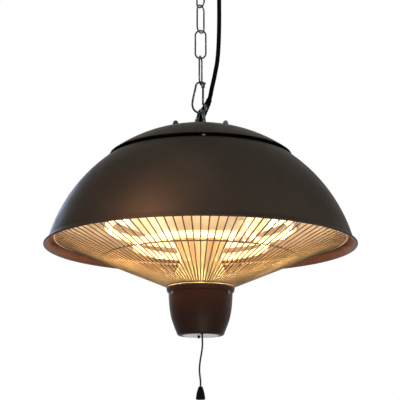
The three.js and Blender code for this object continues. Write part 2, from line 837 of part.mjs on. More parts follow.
function reflectorHeightAt(radius) {
  const points = reflectorUnderside(arcSteps);
  const after = points.findIndex((point) => point[0] >= radius);
  const [low, high] = [points[after - 1], points[after]];
  return low[1] + ((high[1] - low[1]) * (radius - low[0])) / (high[0] - low[0]);
}

function reflectorDish() {
  const under = reflectorUnderside(arcSteps);
  const over = under.slice(1).map(([radius, height]) => [radius, height + reflectorWall]).reverse();
  const hub = tubeRadius + seatGap;
  return turned([
    ...under, ...over, [columnTopRadius, reflectorFoot + reflectorWall], [hub, reflectorFoot + reflectorWall],
    [hub, reflectorFoot],
  ]);
}

// Ring lamps

// Half the angles from the holder's middle to its caps' middles and to the tube's ends, seen from
// the column: the straight caps lean against the round tube, so their gaps grow with that lean
function lampEnds(radius) {
  const lean = (lampHolderWidth + lampCapLength) / 2 / radius;
  const gap = seatGap + lampCapRadius * lean;
  const cap = lampHolderWidth / 2 + gap + lampCapLength / 2;
  return { cap: cap / radius, tube: (cap + lampCapLength / 2 + gap) / radius };
}

// The lamp's tube runs nearly all the way round; a short first and last step keep its ends square
function lampTube(radius, height, turn) {
  const ends = lampEnds(radius);
  const steps = circleSteps - arcSteps;
  const wayShares = [0, lampEndShare];
  for (let i = 1; i < steps; i += 1) wayShares.push(i / steps);
  wayShares.push(1 - lampEndShare, 1);
  const points = wayShares.map((way) => {
    const angle = radians(turn) + ends.tube + (full - 2 * ends.tube) * way;
    return new THREE.Vector3(radius * cos(angle), radius * sin(angle), height);
  });
  return wire(points, () => lampTubeRadius, up);
}

function lampCap(radius, height, turn, side) {
  const ends = lampEnds(radius);
  const angle = radians(turn) + side * ends.cap;
  const along = new THREE.Vector3(-sin(angle), cos(angle), 0);
  const middle = new THREE.Vector3(radius * cos(angle), radius * sin(angle), height);
  const start = middle.addScaledVector(along, -lampCapLength / 2);
  return rod(lampCapRadius, lampCapLength, start, along);
}

function lampHolder(radius, height, turn) {
  const inner = radius - lampHolderDepth / 2;
  const top = reflectorHeightAt(inner) - seatGap;
  const holder = block(
    new THREE.Vector3(inner, -lampHolderWidth / 2, height - lampHolderDrop),
    new THREE.Vector3(inner + lampHolderDepth, lampHolderWidth / 2, top),
  );
  return holder.rotateZ(radians(turn));
}

// Guard

// Flat wires fanned between the bottom ring and the outer ring, all one welded piece
function guardWires() {
  const positions = [];
  const index = [];
  const place = (radius, angle, rise) => {
    const spread = asin(angle.side * (guardWire / 2 / radius));
    const turn = (angle.wire / guardWireCount) * full + spread;
    positions.push(radius * cos(turn), radius * sin(turn), guardHeightAt(radius) + rise);
    return positions.length / 3 - 1;
  };
  const around = [];
  for (let i = 0; i < guardWireCount; i += 1) {
    const middle = { wire: i, side: 0 };
    const wireFoot = (radius) => ({
      right: place(radius, { wire: i, side: -1 }, -guardRing),
      left: place(radius, { wire: i, side: 1 }, -guardRing),
      top: place(radius, middle, guardRing),
    });
    const rim = (radius) => ({
      low: place(radius, middle, -guardRing),
      top: place(radius, middle, guardRing),
    });
    around.push({
      bore: rim(guardBottomRadius - guardRing),
      inner: wireFoot(guardBottomRadius + guardRing),
      outer: wireFoot(guardOuterRadius - guardRing),
      edge: rim(guardOuterRadius + guardRing),
    });
  }
  const face = (...corners) => {
    for (let k = 2; k < corners.length; k += 1) index.push(corners[0], corners[k - 1], corners[k]);
  };
  around.forEach((here, i) => {
    const next = around[(i + 1) % guardWireCount];
    face(here.bore.top, here.inner.top, next.inner.top, next.bore.top);
    face(here.outer.top, here.edge.top, next.edge.top, next.outer.top);
    face(here.bore.low, here.inner.left, here.inner.right);
    face(here.bore.low, next.bore.low, next.inner.right, here.inner.left);
    face(here.inner.right, here.inner.left, here.outer.left, here.outer.right);
    face(here.outer.right, here.outer.left, here.edge.low);
    face(here.outer.left, next.outer.right, next.edge.low, here.edge.low);
    face(here.inner.right, here.outer.right, here.outer.top, here.inner.top);
    face(here.outer.left, here.inner.left, here.inner.top, here.outer.top);
    face(here.inner.left, next.inner.right, next.inner.top, here.inner.top);
    face(next.outer.right, here.outer.left, here.outer.top, next.outer.top);
    face(here.edge.low, next.edge.low, next.edge.top, here.edge.top);
    face(next.bore.low, here.bore.low, here.bore.top, next.bore.top);
  });
  const geometry = new THREE.BufferGeometry();
  geometry.setAttribute("position", new THREE.Float32BufferAttribute(positions, 3));
  geometry.setIndex(index);
  return geometry;
}

function guardHoop() {
  const height = guardHeightAt(guardHoopRadius) + guardRing + seatGap + guardHoopWire / 2;
  const points = [];
  for (let i = 0; i < circleSteps; i += 1) {
    const angle = (i / circleSteps) * full;
    points.push(new THREE.Vector3(guardHoopRadius * cos(angle), guardHoopRadius * sin(angle), height));
  }
  return wire(points, () => guardHoopWire / 2, up, true);
}

// Switch housing

function housingCollar() {
  const inner = housingRadius + seatGap;
  const bore = tubeRadius + seatGap;
  return turned([
    [inner, collarBottom], [collarTopRadius - collarTaper, collarBottom], [collarTopRadius, collarTop],
    [bore, collarTop], [bore, collarTop - collarWall], [inner, collarTop - collarWall],
  ], housingSteps);
}

// The housing's outside, as shares of its top radius and its depth, from its foot up
const housingShares = [[0.74, 0.06], [0.81, 0.18], [0.9, 0.36], [0.955, 0.55], [0.985, 0.76], [1, 1]];

function housingOutline() {
  const rising = housingShares.map(([out, rise]) => {
    return [housingRadius * out, housingBottom + housingDepth * rise];
  });
  return [[housingFootRadius, housingBottom], ...rising];
}

function switchHousing() {
  const outside = housingOutline();
  const inside = outside.slice(2).map(([radius, height]) => [radius - housingWall, height]).reverse();
  const inset = basePlateRadius + seatGap;
  const floor = housingBottom + housingFloor;
  const bowl = turned([
    [inset, housingBottom], ...outside, ...inside,
    [outside[1][0] - housingWall, floor], [inset, floor],
  ], housingSteps);
  const guideHole = upright(guideOuter + seatGap, guideOuter + seatGap,
    housingBottom - cutOverrun, floor + cutOverrun).translate(pullCordX, pullCordY, 0);
  const screwHoles = housingScrewTurns.map((turn) => {
    const start = direction(turn).multiplyScalar(housingRadius - housingWall - cutOverrun);
    start.z = housingScrewZ;
    return rod(housingScrewRadius / 2 + holeGap, housingWall + 2 * cutOverrun, start, direction(turn));
  });
  return cut(bowl, guideHole, ...screwHoles);
}

const housingScrewZ = collarBottom - housingScrewDrop;
const guideOuter = pullCordDiameter / 2 + holeGap + guideWall;

function housingScrew(turn) {
  const out = direction(turn);
  const seat = out.clone().multiplyScalar(housingRadius + seatGap);
  seat.z = housingScrewZ;
  const head = rod(housingScrewRadius, housingScrewHead, seat, out);
  const tail = out.clone().multiplyScalar(housingRadius - housingWall - housingScrewTail);
  tail.z = housingScrewZ;
  const length = housingWall + housingScrewTail + seatGap + housingScrewHead / 2;
  return join(head, rod(housingScrewRadius / 2, length, tail, out));
}

function basePlate() {
  const bottom = housingBottom - basePlateStand;
  const plate = upright(basePlateRadius, basePlateRadius, bottom, bottom + basePlateThickness, housingSteps);
  const hole = upright(baseKnobRadius / 2 + holeGap, baseKnobRadius / 2 + holeGap,
    bottom - cutOverrun, bottom + basePlateThickness + cutOverrun).translate(baseKnobX, 0, 0);
  return cut(plate, hole);
}

function baseKnob() {
  const seat = housingBottom - basePlateStand - seatGap;
  const bottom = seat - baseKnobHeight;
  const top = seat + seatGap + basePlateThickness;
  return turned([
    [0, bottom], [baseKnobRadius / 2, bottom], [baseKnobRadius, bottom + baseKnobHeight / 2],
    [baseKnobRadius, seat], [baseKnobRadius / 2, seat], [baseKnobRadius / 2, top], [0, top],
  ], smallSteps).translate(baseKnobX, 0, 0);
}

// Pull switch

const drumZ = housingBottom + drumHeightAboveFloor;
const drumY = pullCordY + pullCordDiameter / 2 + seatGap + drumRadius;
const switchLeft = pullCordX + drumWidth / 2 + seatGap;

function cordGuide() {
  const bore = pullCordDiameter / 2 + holeGap;
  const bottom = housingBottom - seatGap;
  const top = housingBottom + housingFloor;
  return turned([
    [bore, bottom - guideFlange], [guideOuter + seatGap, bottom - guideFlange],
    [guideOuter + seatGap, bottom], [guideOuter, bottom], [guideOuter, top], [bore, top],
  ], smallSteps).translate(pullCordX, pullCordY, 0);
}

function pullCord() {
  const inside = [0, 0, drumZ - housingBottom];
  const route = [inside, [0, 0, inside[2] / 2], ...pullRoute];
  return cord(route, pullCordDiameter, 8, 16).translate(pullCordX, pullCordY, housingBottom);
}

function pullKnob() {
  const foot = pullRoute.at(-1);
  const top = housingBottom - pullCordHang - seatGap;
  const bottom = top - knobLength;
  const outline = knobShares.map(([out, rise]) => [knobRadius * out, bottom + knobLength * rise]);
  const knob = turned([[0, bottom], ...outline, [0, top]], 2 * smallSteps);
  return knob.translate(pullCordX + foot[0], pullCordY + foot[1], 0);
}

function switchDrum() {
  const left = new THREE.Vector3(pullCordX - drumWidth / 2, drumY, drumZ);
  const outward = direction(0);
  const drum = rod(drumRadius, drumWidth, left, outward, 2 * smallSteps);
  const axle = rod(drumAxleRadius, drumWidth + drumAxleLength, left, outward);
  return join(drum, axle);
}

function switchBody() {
  const body = block(
    new THREE.Vector3(switchLeft, drumY - switchBodyDepth / 2, drumZ - switchBodyDrop),
    new THREE.Vector3(switchLeft + switchBodyWidth, drumY + switchBodyDepth / 2, housingTop),
  );
  const bore = rod(drumAxleRadius + seatGap, drumAxleLength + seatGap + cutOverrun,
    new THREE.Vector3(switchLeft - cutOverrun, drumY, drumZ), direction(0));
  const bay = upright(tubeNutRadius + seatGap, tubeNutRadius + seatGap,
    collarTop - collarWall - tubeTail - 2 * seatGap, housingTop + cutOverrun, housingSteps);
  return cut(body, bore, bay);
}

function terminalBlock() {
  const bottom = carrierTop + seatGap;
  const near = glandY + glandRadius;
  return block(
    new THREE.Vector3(glandX - terminalLength / 2, near, bottom),
    new THREE.Vector3(glandX + terminalLength / 2, near + terminalWidth, bottom + terminalHeight),
  );
}

// Mains lead

function cordGland() {
  const reach = hypot(glandX, glandY);
  const seat = domeHeightAt(cap, 0, reach - glandRadius) + seatGap;
  const top = bootBottom - seatGap;
  const bottom = domeHeightAt(cap, capWall, reach) - glandTail;
  return turned([
    [0, bottom], [glandNeckRadius, bottom], [glandNeckRadius, seat], [glandRadius, seat],
    [glandRadius, top - (glandRadius - bootBottomRadius)], [bootBottomRadius, top], [0, top],
  ], 2 * smallSteps).translate(glandX, glandY, 0);
}

const bootBottom = capTop + bootRoute[0][2];

function cordBoot() {
  const curve = new THREE.CatmullRomCurve3(bootRoute.map((place) => new THREE.Vector3(...place)));
  const points = raised(curve.getSpacedPoints(arcSteps), capTop);
  const radiusAt = (way) => bootBottomRadius + (bootTopRadius - bootBottomRadius) * way;
  return wire(points, radiusAt, across, false, smallSteps);
}

const coilRate = coilPitch / full;
const coilEnd = coilTurns * full;
const coilOuter = coilMiddleRadius + (coilPitch * coilTurns) / 4;
const coilPlace = {
  x: leadRoute.at(-1)[0] - coilOuter,
  y: leadRoute.at(-1)[1],
  z: -plateThickness - 2 * seatGap - clipWall - cordDiameter / 2 - coilOuter - seatGap,
};

// The coil's middle line: in towards its centre, back a layer round its middle, and out again
function coilLine() {
  const points = [];
  const steps = coilTurns * coilSteps;
  const half = coilEnd / 2;
  for (let i = 0; i <= steps; i += 1) {
    const angle = (i / steps) * coilEnd;
    const radius = coilOuter - coilRate * (half - abs(angle - half));
    const climb = THREE.MathUtils.smoothstep(angle, half - Math.PI / 2, half + Math.PI / 2);
    points.push(new THREE.Vector3(radius * cos(angle), coilPitch * climb, radius * sin(angle)));
  }
  const first = points[0].clone();
  const last = points.at(-1).clone();
  first.z -= cordDiameter;
  last.x -= cordDiameter;
  return [first, ...points, last];
}

// The least gap between turns of the coil, measured on the points of its middle line
function coilGap(points) {
  let least = Infinity;
  const skip = coilSteps / 2;
  for (let i = 0; i < points.length; i += 1) {
    for (let j = i + skip; j < points.length; j += 1) {
      least = min(least, points[i].distanceTo(points[j]));
    }
  }
  return least - cordDiameter;
}

function cordCoil() {
  const points = coilLine();
  console.log(`coil: least gap between turns ${coilGap(points).toFixed(2)} mm`);
  return wire(points, () => cordDiameter / 2, across)
    .translate(coilPlace.x, coilPlace.y, coilPlace.z);
}

function cordClip() {
  const half = clipWidth / 2;
  const inner = {
    low: coilPlace.z + coilOuter - coilPitch * (coilTurns / 2) - cordDiameter / 2 - 2 * seatGap,
    high: coilPlace.z + coilOuter + cordDiameter / 2 + seatGap,
    front: coilPlace.y - cordDiameter / 2 - 2 * seatGap,
    back: coilPlace.y + coilPitch + cordDiameter / 2 + 2 * seatGap,
  };
  const band = block(
    new THREE.Vector3(coilPlace.x - half, inner.front - clipWall, inner.low - clipWall),
    new THREE.Vector3(coilPlace.x + half, inner.back + clipWall, inner.high + clipWall),
  );
  const room = block(
    new THREE.Vector3(coilPlace.x - half - cutOverrun, inner.front, inner.low),
    new THREE.Vector3(coilPlace.x + half + cutOverrun, inner.back, inner.high),
  );
  const lug = block(
    new THREE.Vector3(coilPlace.x - half, inner.front - clipWall - clipLug, inner.high),
    new THREE.Vector3(coilPlace.x + half, inner.front, inner.high + clipWall),
  );
  return cut(join(band, lug), room);
}

function cordTail() {
  return cord(tailRoute, cordDiameter, 10, 10)
    .translate(coilPlace.x, coilPlace.y + coilPitch, coilPlace.z);
}

function mainsPlug() {
  const end = tailRoute.at(-1);
  const x = coilPlace.x + end[0];
  const y = coilPlace.y + coilPitch + end[1];
  const tip = coilPlace.z + end[2] - seatGap;
  const root = tip - plugReliefLength;
  const centre = new THREE.Vector3(x, y - plugThickness / 2, root - plugRadius + plugReliefRoot / 2);
  const body = rod(plugRadius, plugThickness, centre, across, circleSteps);
  const relief = upright(plugReliefRoot, plugReliefTip, root - plugReliefRoot, tip).translate(x, y, 0);
  const pins = [-1, 1].map((side) => {
    const start = new THREE.Vector3(x + (side * plugPinSpacing) / 2, y, centre.z);
    return rod(plugPinRadius, plugThickness / 2 + plugPinLength, start, across);
  });
  return join(body, relief, ...pins);
}

function powerCord() {
  const top = coilPlace.z - rimZ - capTop - cordDiameter - seatGap;
  const route = leadRoute.filter((place) => place[2] < top - cordDiameter);
  route.push([leadRoute.at(-1)[0], leadRoute.at(-1)[1], top]);
  return cord(route, cordDiameter, 10, 18).translate(0, 0, capTop);
}

// The finished object

const finishes = {
  brownPaint: { color: 0x2a211d, roughness: 0.38, metalness: 0.3 },
  darkShell: { color: 0x2b201c, roughness: 0.42, metalness: 0.15 },
  steel: { color: 0x5d5e5c, roughness: 0.32, metalness: 0.9 },
  zinc: { color: 0x8d8f8e, roughness: 0.4, metalness: 0.85 },
  polished: { color: 0xd9cdb4, roughness: 0.16, metalness: 1 },
  guardChrome: { color: 0xb08a5c, roughness: 0.28, metalness: 0.95 },
  lampGlass: { color: 0xffe9b8, roughness: 0.2, metalness: 0 },
  ceramic: { color: 0xd8cfc0, roughness: 0.7, metalness: 0 },
  rubber: { color: 0x171615, roughness: 0.6, metalness: 0 },
  greyPlastic: { color: 0xb9b0b1, roughness: 0.5, metalness: 0 },
  blackPlastic: { color: 0x1a1716, roughness: 0.4, metalness: 0 },
};

const object = new THREE.Group();
const heater = new THREE.Group();
heater.position.z = rimZ;
object.add(heater);

function add(parent, name, geometry, finish) {
  const mesh = new THREE.Mesh(merged(geometry), new THREE.MeshStandardMaterial(finishes[finish]));
  mesh.name = name;
  parent.add(mesh);
}

add(object, "ceiling_plate", ceilingPlate(), "brownPaint");
add(object, "ceiling_hook", ceilingHook(), "steel");
screwPlaces().forEach((place, i) => add(object, `plate_screw_${i + 1}`, plateScrew(place), "zinc"));
add(object, "cord_clip", cordClip(), "zinc");
add(object, "cord_coil", cordCoil(), "rubber");
add(object, "cord_tail", cordTail(), "rubber");
add(object, "mains_plug", mainsPlug(), "blackPlastic");
linkTurns.forEach((_, i) => add(object, `chain_link_${i + 1}`, chainLink(i), "steel"));
add(object, "snap_hook", snapBody(), "steel");
add(object, "snap_gate", snapGate(), "steel");
add(object, "gate_pin", gatePin(), "zinc");

add(heater, "hanging_eye", hangingEye(), "steel");
add(heater, "eye_plate", eyePlate(), "zinc");
eyeLegPlaces().forEach((place, i) => add(heater, `eye_nut_${i + 1}`, eyeNut(place), "zinc"));
add(heater, "top_cap", topCap(), "brownPaint");
boltPlaces().forEach((place, i) => add(heater, `cap_bolt_${i + 1}`, capBolt(place), "darkShell"));
add(heater, "cord_gland", cordGland(), "blackPlastic");
add(heater, "cord_boot", cordBoot(), "rubber");
add(heater, "power_cord", powerCord(), "rubber");
add(heater, "terminal_block", terminalBlock(), "ceramic");
add(heater, "spacer_ring", spacerRing(), "darkShell");
ringScrewTurns.forEach((turn, i) => add(heater, `ring_screw_${i + 1}`, ringScrew(turn), "zinc"));
add(heater, "shade_dome", shadeDome(), "brownPaint");
add(heater, "carrier_plate", carrierPlate(), "zinc");
add(heater, "centre_tube", centreTube(), "zinc");
add(heater, "tube_nut", tubeNut(), "zinc");
add(heater, "centre_column", centreColumn(), "polished");
add(heater, "reflector_dish", reflectorDish(), "polished");
const lamps = [
  ["inner", innerLampRadius, innerLampHeight, innerLampTurn],
  ["outer", outerLampRadius, outerLampHeight, outerLampTurn],
];
for (const [name, radius, height, turn] of lamps) {
  add(heater, `${name}_lamp`, lampTube(radius, height, turn), "lampGlass");
  add(heater, `${name}_lamp_cap_1`, lampCap(radius, height, turn, 1), "ceramic");
  add(heater, `${name}_lamp_cap_2`, lampCap(radius, height, turn, -1), "ceramic");
  add(heater, `${name}_lamp_holder`, lampHolder(radius, height, turn), "zinc");
}
add(heater, "guard_wires", guardWires(), "guardChrome");
add(heater, "guard_hoop", guardHoop(), "guardChrome");
add(heater, "housing_collar", housingCollar(), "darkShell");
add(heater, "switch_housing", switchHousing(), "darkShell");
housingScrewTurns.forEach((turn, i) => add(heater, `housing_screw_${i + 1}`, housingScrew(turn), "zinc"));
add(heater, "base_plate", basePlate(), "greyPlastic");
add(heater, "base_knob", baseKnob(), "blackPlastic");
add(heater, "cord_guide", cordGuide(), "blackPlastic");
add(heater, "switch_body", switchBody(), "blackPlastic");
add(heater, "switch_drum", switchDrum(), "greyPlastic");
add(heater, "pull_cord", pullCord(), "rubber");
add(heater, "pull_knob", pullKnob(), "blackPlastic");

export default object;
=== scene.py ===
# The looks of a ceiling-hung patio heater, modelled piece by piece round its fixed frame.
# Places and thicknesses are in millimetres, except where metres are named.
# Turns and tilts are in degrees, angles and sweeps in radians.
from math import asin, atan, atan2, cos, degrees, hypot, pi, radians, sin, sqrt

import bpy
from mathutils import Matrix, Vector


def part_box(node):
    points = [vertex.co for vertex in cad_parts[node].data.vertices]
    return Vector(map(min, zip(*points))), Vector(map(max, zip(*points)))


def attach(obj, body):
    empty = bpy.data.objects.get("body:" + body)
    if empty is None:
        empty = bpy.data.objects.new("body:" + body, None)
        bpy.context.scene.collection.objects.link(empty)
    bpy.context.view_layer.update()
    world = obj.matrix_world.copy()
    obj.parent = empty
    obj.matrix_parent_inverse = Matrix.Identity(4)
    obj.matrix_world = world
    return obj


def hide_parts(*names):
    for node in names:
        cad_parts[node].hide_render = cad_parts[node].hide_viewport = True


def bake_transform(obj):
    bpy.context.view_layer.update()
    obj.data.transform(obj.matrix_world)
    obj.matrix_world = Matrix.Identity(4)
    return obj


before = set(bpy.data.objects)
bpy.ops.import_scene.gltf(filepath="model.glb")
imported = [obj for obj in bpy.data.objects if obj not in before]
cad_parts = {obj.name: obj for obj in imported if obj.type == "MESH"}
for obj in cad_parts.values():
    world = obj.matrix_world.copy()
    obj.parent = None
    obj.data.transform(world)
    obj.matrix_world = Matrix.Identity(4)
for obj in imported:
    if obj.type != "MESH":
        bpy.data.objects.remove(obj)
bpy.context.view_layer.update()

bl_info = {
    "name": "Hanging patio heater",
    "version": (1, 0, 0),
    "blender": (4, 5, 0),
    "location": "View3D > Sidebar > Heater",
    "description": "Models and finishes the pieces of a ceiling-hung patio heater",
    "category": "Object",
}

FULL_TURN = 2 * pi
MM = 0.001


def span(node, axis="z"):
    """A solid's lowest and highest place along an axis"""
    return [getattr(corner, axis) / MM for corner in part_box(node)]


def middle(node, axis):
    return sum(span(node, axis)) / 2


# Heights in the frame
RIM = span("shade_dome")[0]
CAP_TOP = span("top_cap")[1]
HOUSING_FOOT = span("switch_housing")[0]

# Domes, as the height of a sphere's centre over the rim and its radius
SHADE_DOME = (-50.636, 212.91)
CAP_DOME = (-41.003, 208.503)

# The guard's wires run from its foot ring up to its outer ring
GUARD_FOOT, GUARD_LOW = 46, RIM - 53.2
GUARD_RADIUS, GUARD_HIGH = 197.2, RIM + 9.5
GUARD_SLOPE = (GUARD_HIGH - GUARD_LOW) / (GUARD_RADIUS - GUARD_FOOT)
GUARD_RING_WIRE = 2.6
HOOP_RADIUS, HOOP_WIRE = 131.5, 2.0

# The lead's line from the gland up to the coil, from the cap's top; its start runs in the boot
BOOT_START = [
    (-2, 22, 11.3), (-1.8, 22, 15.1), (-0.9, 22, 18.9), (1.4, 22, 24.9), (4.4, 22, 31.5),
    (7.8, 22, 38.3), (10.6, 22, 44.1),
]
BOOT_ROUTE = [*BOOT_START, (12.6, 22, 49.8)]
# The boot's radius at its foot, how much it narrows, and the number and height of its ribs
BOOT_FOOT, BOOT_TAPER, BOOT_RIBS, BOOT_RIB = 7, 3.1, 9, 0.21
LEAD_ROUTE = [
    *BOOT_START, (13.8, 22, 54.3), (15.5, 22, 63.4), (17.4, 22, 72.3), (19.4, 22, 81.3),
    (21.1, 22, 90.3), (22.8, 22, 99.5), (24.1, 22, 108.5), (25.6, 22, 126.7), (26.6, 22, 154.2),
    (26.9, 22, 177.5), (26.9, 22, 200.7), (26.9, 22, 232.5), (26.9, 22, 252.5), (26.9, 22, 272.325),
]
# The bodies that the lead's lengths hang between, from the ceiling down
LEAD_BODIES = ["ceiling", "link_1", "link_2", "link_3", "link_4", "link_5", "snap", "heater"]
LEAD_LENGTHS = len(LEAD_BODIES) - 1
LEAD_STEPS = 20

# The tail from the coil's end to the plug, from the coil's centre
TAIL_ROUTE = [
    (-6.6, 6.8, 47.9), (-12, 7.1, 47.6), (-18, 8.4, 46.1), (-24, 11, 42.6), (-29.4, 14.2, 36.8),
    (-33.4, 17.2, 29.4), (-35.6, 19.6, 21), (-36.5, 20.7, 14), (-36.5, 20.8, 8), (-36.5, 20.8, 2),
]
COIL_CENTRE = (-21.025, 22, -57.475)
COIL_OUTER, COIL_PITCH = 47.925, 6.8
COIL_TURNS, COIL_STEPS = 6.25, 30

# The pull cord's line under its bush, from the housing's foot
PULL_PLACE = (2.1, -26.8)
PULL_ROUTE = [
    (0, 0, 2), (0, 0, 0), (0, 0, -6), (0.3, 0, -12), (0, 0, -18), (-0.9, 0.2, -25), (-2.3, 0.4, -33),
    (-3.3, 0.3, -41), (-3.6, 0, -48), (-3, -0.2, -55), (-2.2, 0, -62), (-2.2, 0, -68),
]
PULL_CORD = 2.3

# The snap hook's line, as shares of its length
SNAP_LENGTH = 45
SNAP_LINE = [
    (0.151, -0.722), (0.169, -0.822), (0.142, -0.92), (0.076, -0.98), (0, -1),
    (-0.102, -0.98), (-0.198, -0.907), (-0.253, -0.778), (-0.244, -0.6), (-0.2, -0.378),
    (-0.156, -0.178), (-0.138, -0.09), (-0.093, -0.027), (0, 0), (0.084, -0.022), (0.127, -0.075),
]
GATE_PIN = (0.075, -0.133)
GATE_TIP = (0.073, -0.737)

# Radius of the holes round the centre tube
TUBE_HOLE = 13.3

LINK_LENGTH, LINK_WIDTH = 44, 17.2
LINK_TURNS = [44, -46, 50, 0, 76]
HOOK_DROP, HOOK_BEND, HOOK_MOUTH = 74, 12, 9
HOOK_TURN = -46
EYE_TURN = -60
RING_SCREW_TURNS = [-88, 32, 152]
HOUSING_SCREW_TURNS = [-30.5, 210.5]
CAP_BOLT_TURNS = [45, 135, 225, 315]
PLATE_SCREW_TURNS = [-50, -130]
PLATE_SCREW_RADIUS, PLATE_SCREW_SEAT = 31, -4.3

# Ring lamps: radius, height over the rim and the turn of the gap between their ends
LAMPS = {"inner": (88, 1, -50), "outer": (125, 26, -12)}
LIGHTS_PER_LAMP, LIGHT_DROP, LIGHT_SOFTNESS = 5, 9, 6
LIGHT_COLOUR = (1.0, 0.74, 0.42)
FILAMENT_RADIUS, FILAMENT_PITCH, FILAMENT_WIRE, FILAMENT_STEPS = 2.3, 1.7, 1.1, 8
# A lamp's holder stands square across its ring, with a ceramic end close on either side
HOLDER_WIDTH, HOLDER_REACH = 9, 19.5
END_RADIUS, END_LENGTH, END_CLEARANCE = 6.4, 10.5, 0.3

# The camera and the stage's lamps, in metres: name, place, width, power, colour
CAMERA_PLACE = (-0.0008, -1.467, RIM * MM - 0.272)
CAMERA_TILT, CAMERA_LENS = 90 + 12.955, 99.09
STAGE_LAMPS = [
    ("key_lamp", (0.3, -1.62, -1.9), 0.8, 24, (1.0, 0.95, 0.88)),
    ("top_lamp", (-0.3, -0.5, 1.6), 0.7, 3, (1.0, 0.96, 0.9)),
    ("fill_lamp", (1.7, -1.2, 0.1), 1.2, 3, (1.0, 0.97, 0.94)),
    ("warm_lamp", (-0.15, -0.95, -0.66), 0.25, 0.8, (1.0, 0.5, 0.24)),
    ("lip_lamp", (-0.085, -0.252, -0.474), 0.05, 0.17, (1.0, 0.52, 0.28)),
    ("left_edge_lamp", (-1.1, 1.9, 0.15), 0.7, 13, (0.55, 0.68, 1.0)),
    ("right_edge_lamp", (1.4, 0.9, -0.2), 0.5, 2, (0.95, 0.97, 1.0)),
]
NOT_IN_GLOSS = ("warm_lamp", "lip_lamp")
FLOOR_SIZE, FLOOR_HEIGHT = 24, -2.4


# Sizes and colours

def length(name, default, least, description):
    return bpy.props.FloatProperty(
        name=name, description=description, default=default * MM, min=least * MM, unit="LENGTH")


def tint(name, default, description):
    return bpy.props.FloatVectorProperty(
        name=name, description=description, default=default, size=3, min=0, max=1, subtype="COLOR")


class HeaterSizes(bpy.types.PropertyGroup):
    rim_radius: length("Rim radius", 211.2, 50, "Half the shade's width over its lip")
    shade_height: length("Shade height", 119.5, 20, "From the lip up to the flange under the cap")
    sheet_wall: length("Sheet thickness", 1.5, 0.5, "Wall of the spun shade and cap")
    lip_drop: length("Lip drop", 1.8, 0, "How far the rolled lip hangs below the sheet's edge")
    guard_wire: length("Guard wire", 1.8, 0.5, "Thickness of the guard's straight wires")
    guard_count: bpy.props.IntProperty(
        name="Guard wires", description="Straight wires in the guard", default=104, min=12)
    link_wire: length("Link wire", 2.4, 0.5, "Thickness of a chain link's wire")
    lead: length("Mains lead", 6.3, 2, "Thickness of the mains lead's jacket")
    lamp_tube: length("Lamp tube", 10, 2, "Thickness of a ring lamp's glass tube")


class HeaterColours(bpy.types.PropertyGroup):
    enamel: tint("Shade enamel", (0.046, 0.037, 0.0285), "Bronze-brown enamel of the shade and cap")
    housing: tint("Housing enamel", (0.023, 0.0115, 0.0083), "Darker enamel of the switch housing")
    steel: tint("Chain steel", (0.062, 0.062, 0.058), "Dark plated wire of the chain and hooks")
    reflector: tint("Reflector", (0.68, 0.66, 0.57), "Bright aluminium of the reflector and holders")
    column: tint("Column", (0.4, 0.39, 0.25), "Yellowed aluminium of the column")
    guard: tint("Guard", (0.24, 0.172, 0.09), "Plated guard wire, browned by heat")
    # The inside enamel is painted lighter and warmer than the outside's, as painted light from the lamps
    inside: tint("Shade inside", (0.095, 0.037, 0.018), "Browned enamel of the shade's inside")
    lining: tint("Shade lining", (0.41, 0.37, 0.33), "Bright lining inside the shade, above the guard")
    rubber: tint("Lead rubber", (0.005, 0.005, 0.005), "Black jacket of the mains lead")
    glow: tint("Lamp glow", (1.0, 0.65, 0.3), "Colour of the lit ring lamps")
    lamp_power: bpy.props.FloatProperty(
        name="Lamp light", description="Light that each lit ring lamp throws on the shade's inside",
        default=0.75, min=0, unit="POWER")
    glow_strength: bpy.props.FloatProperty(
        name="Glow strength", description="Brightness of the lit ring lamps", default=2.9, min=0)


def sizes():
    return bpy.context.scene.heater_sizes


def size(name):
    """A length from the panel, in millimetres"""
    return getattr(sizes(), name) / MM


def colours():
    return bpy.context.scene.heater_colours


# Finishes

def new_node(tree, kind, values=(), sources=(), **settings):
    """A shader node with the values of its sockets and the outputs that they are joined to"""
    made = tree.nodes.new(kind)
    for setting, value in settings.items():
        setattr(made, setting, value)
    for socket, value in dict(values).items():
        made.inputs[socket].default_value = value
    for socket, source in dict(sources).items():
        tree.links.new(source, made.inputs[socket])
    return made


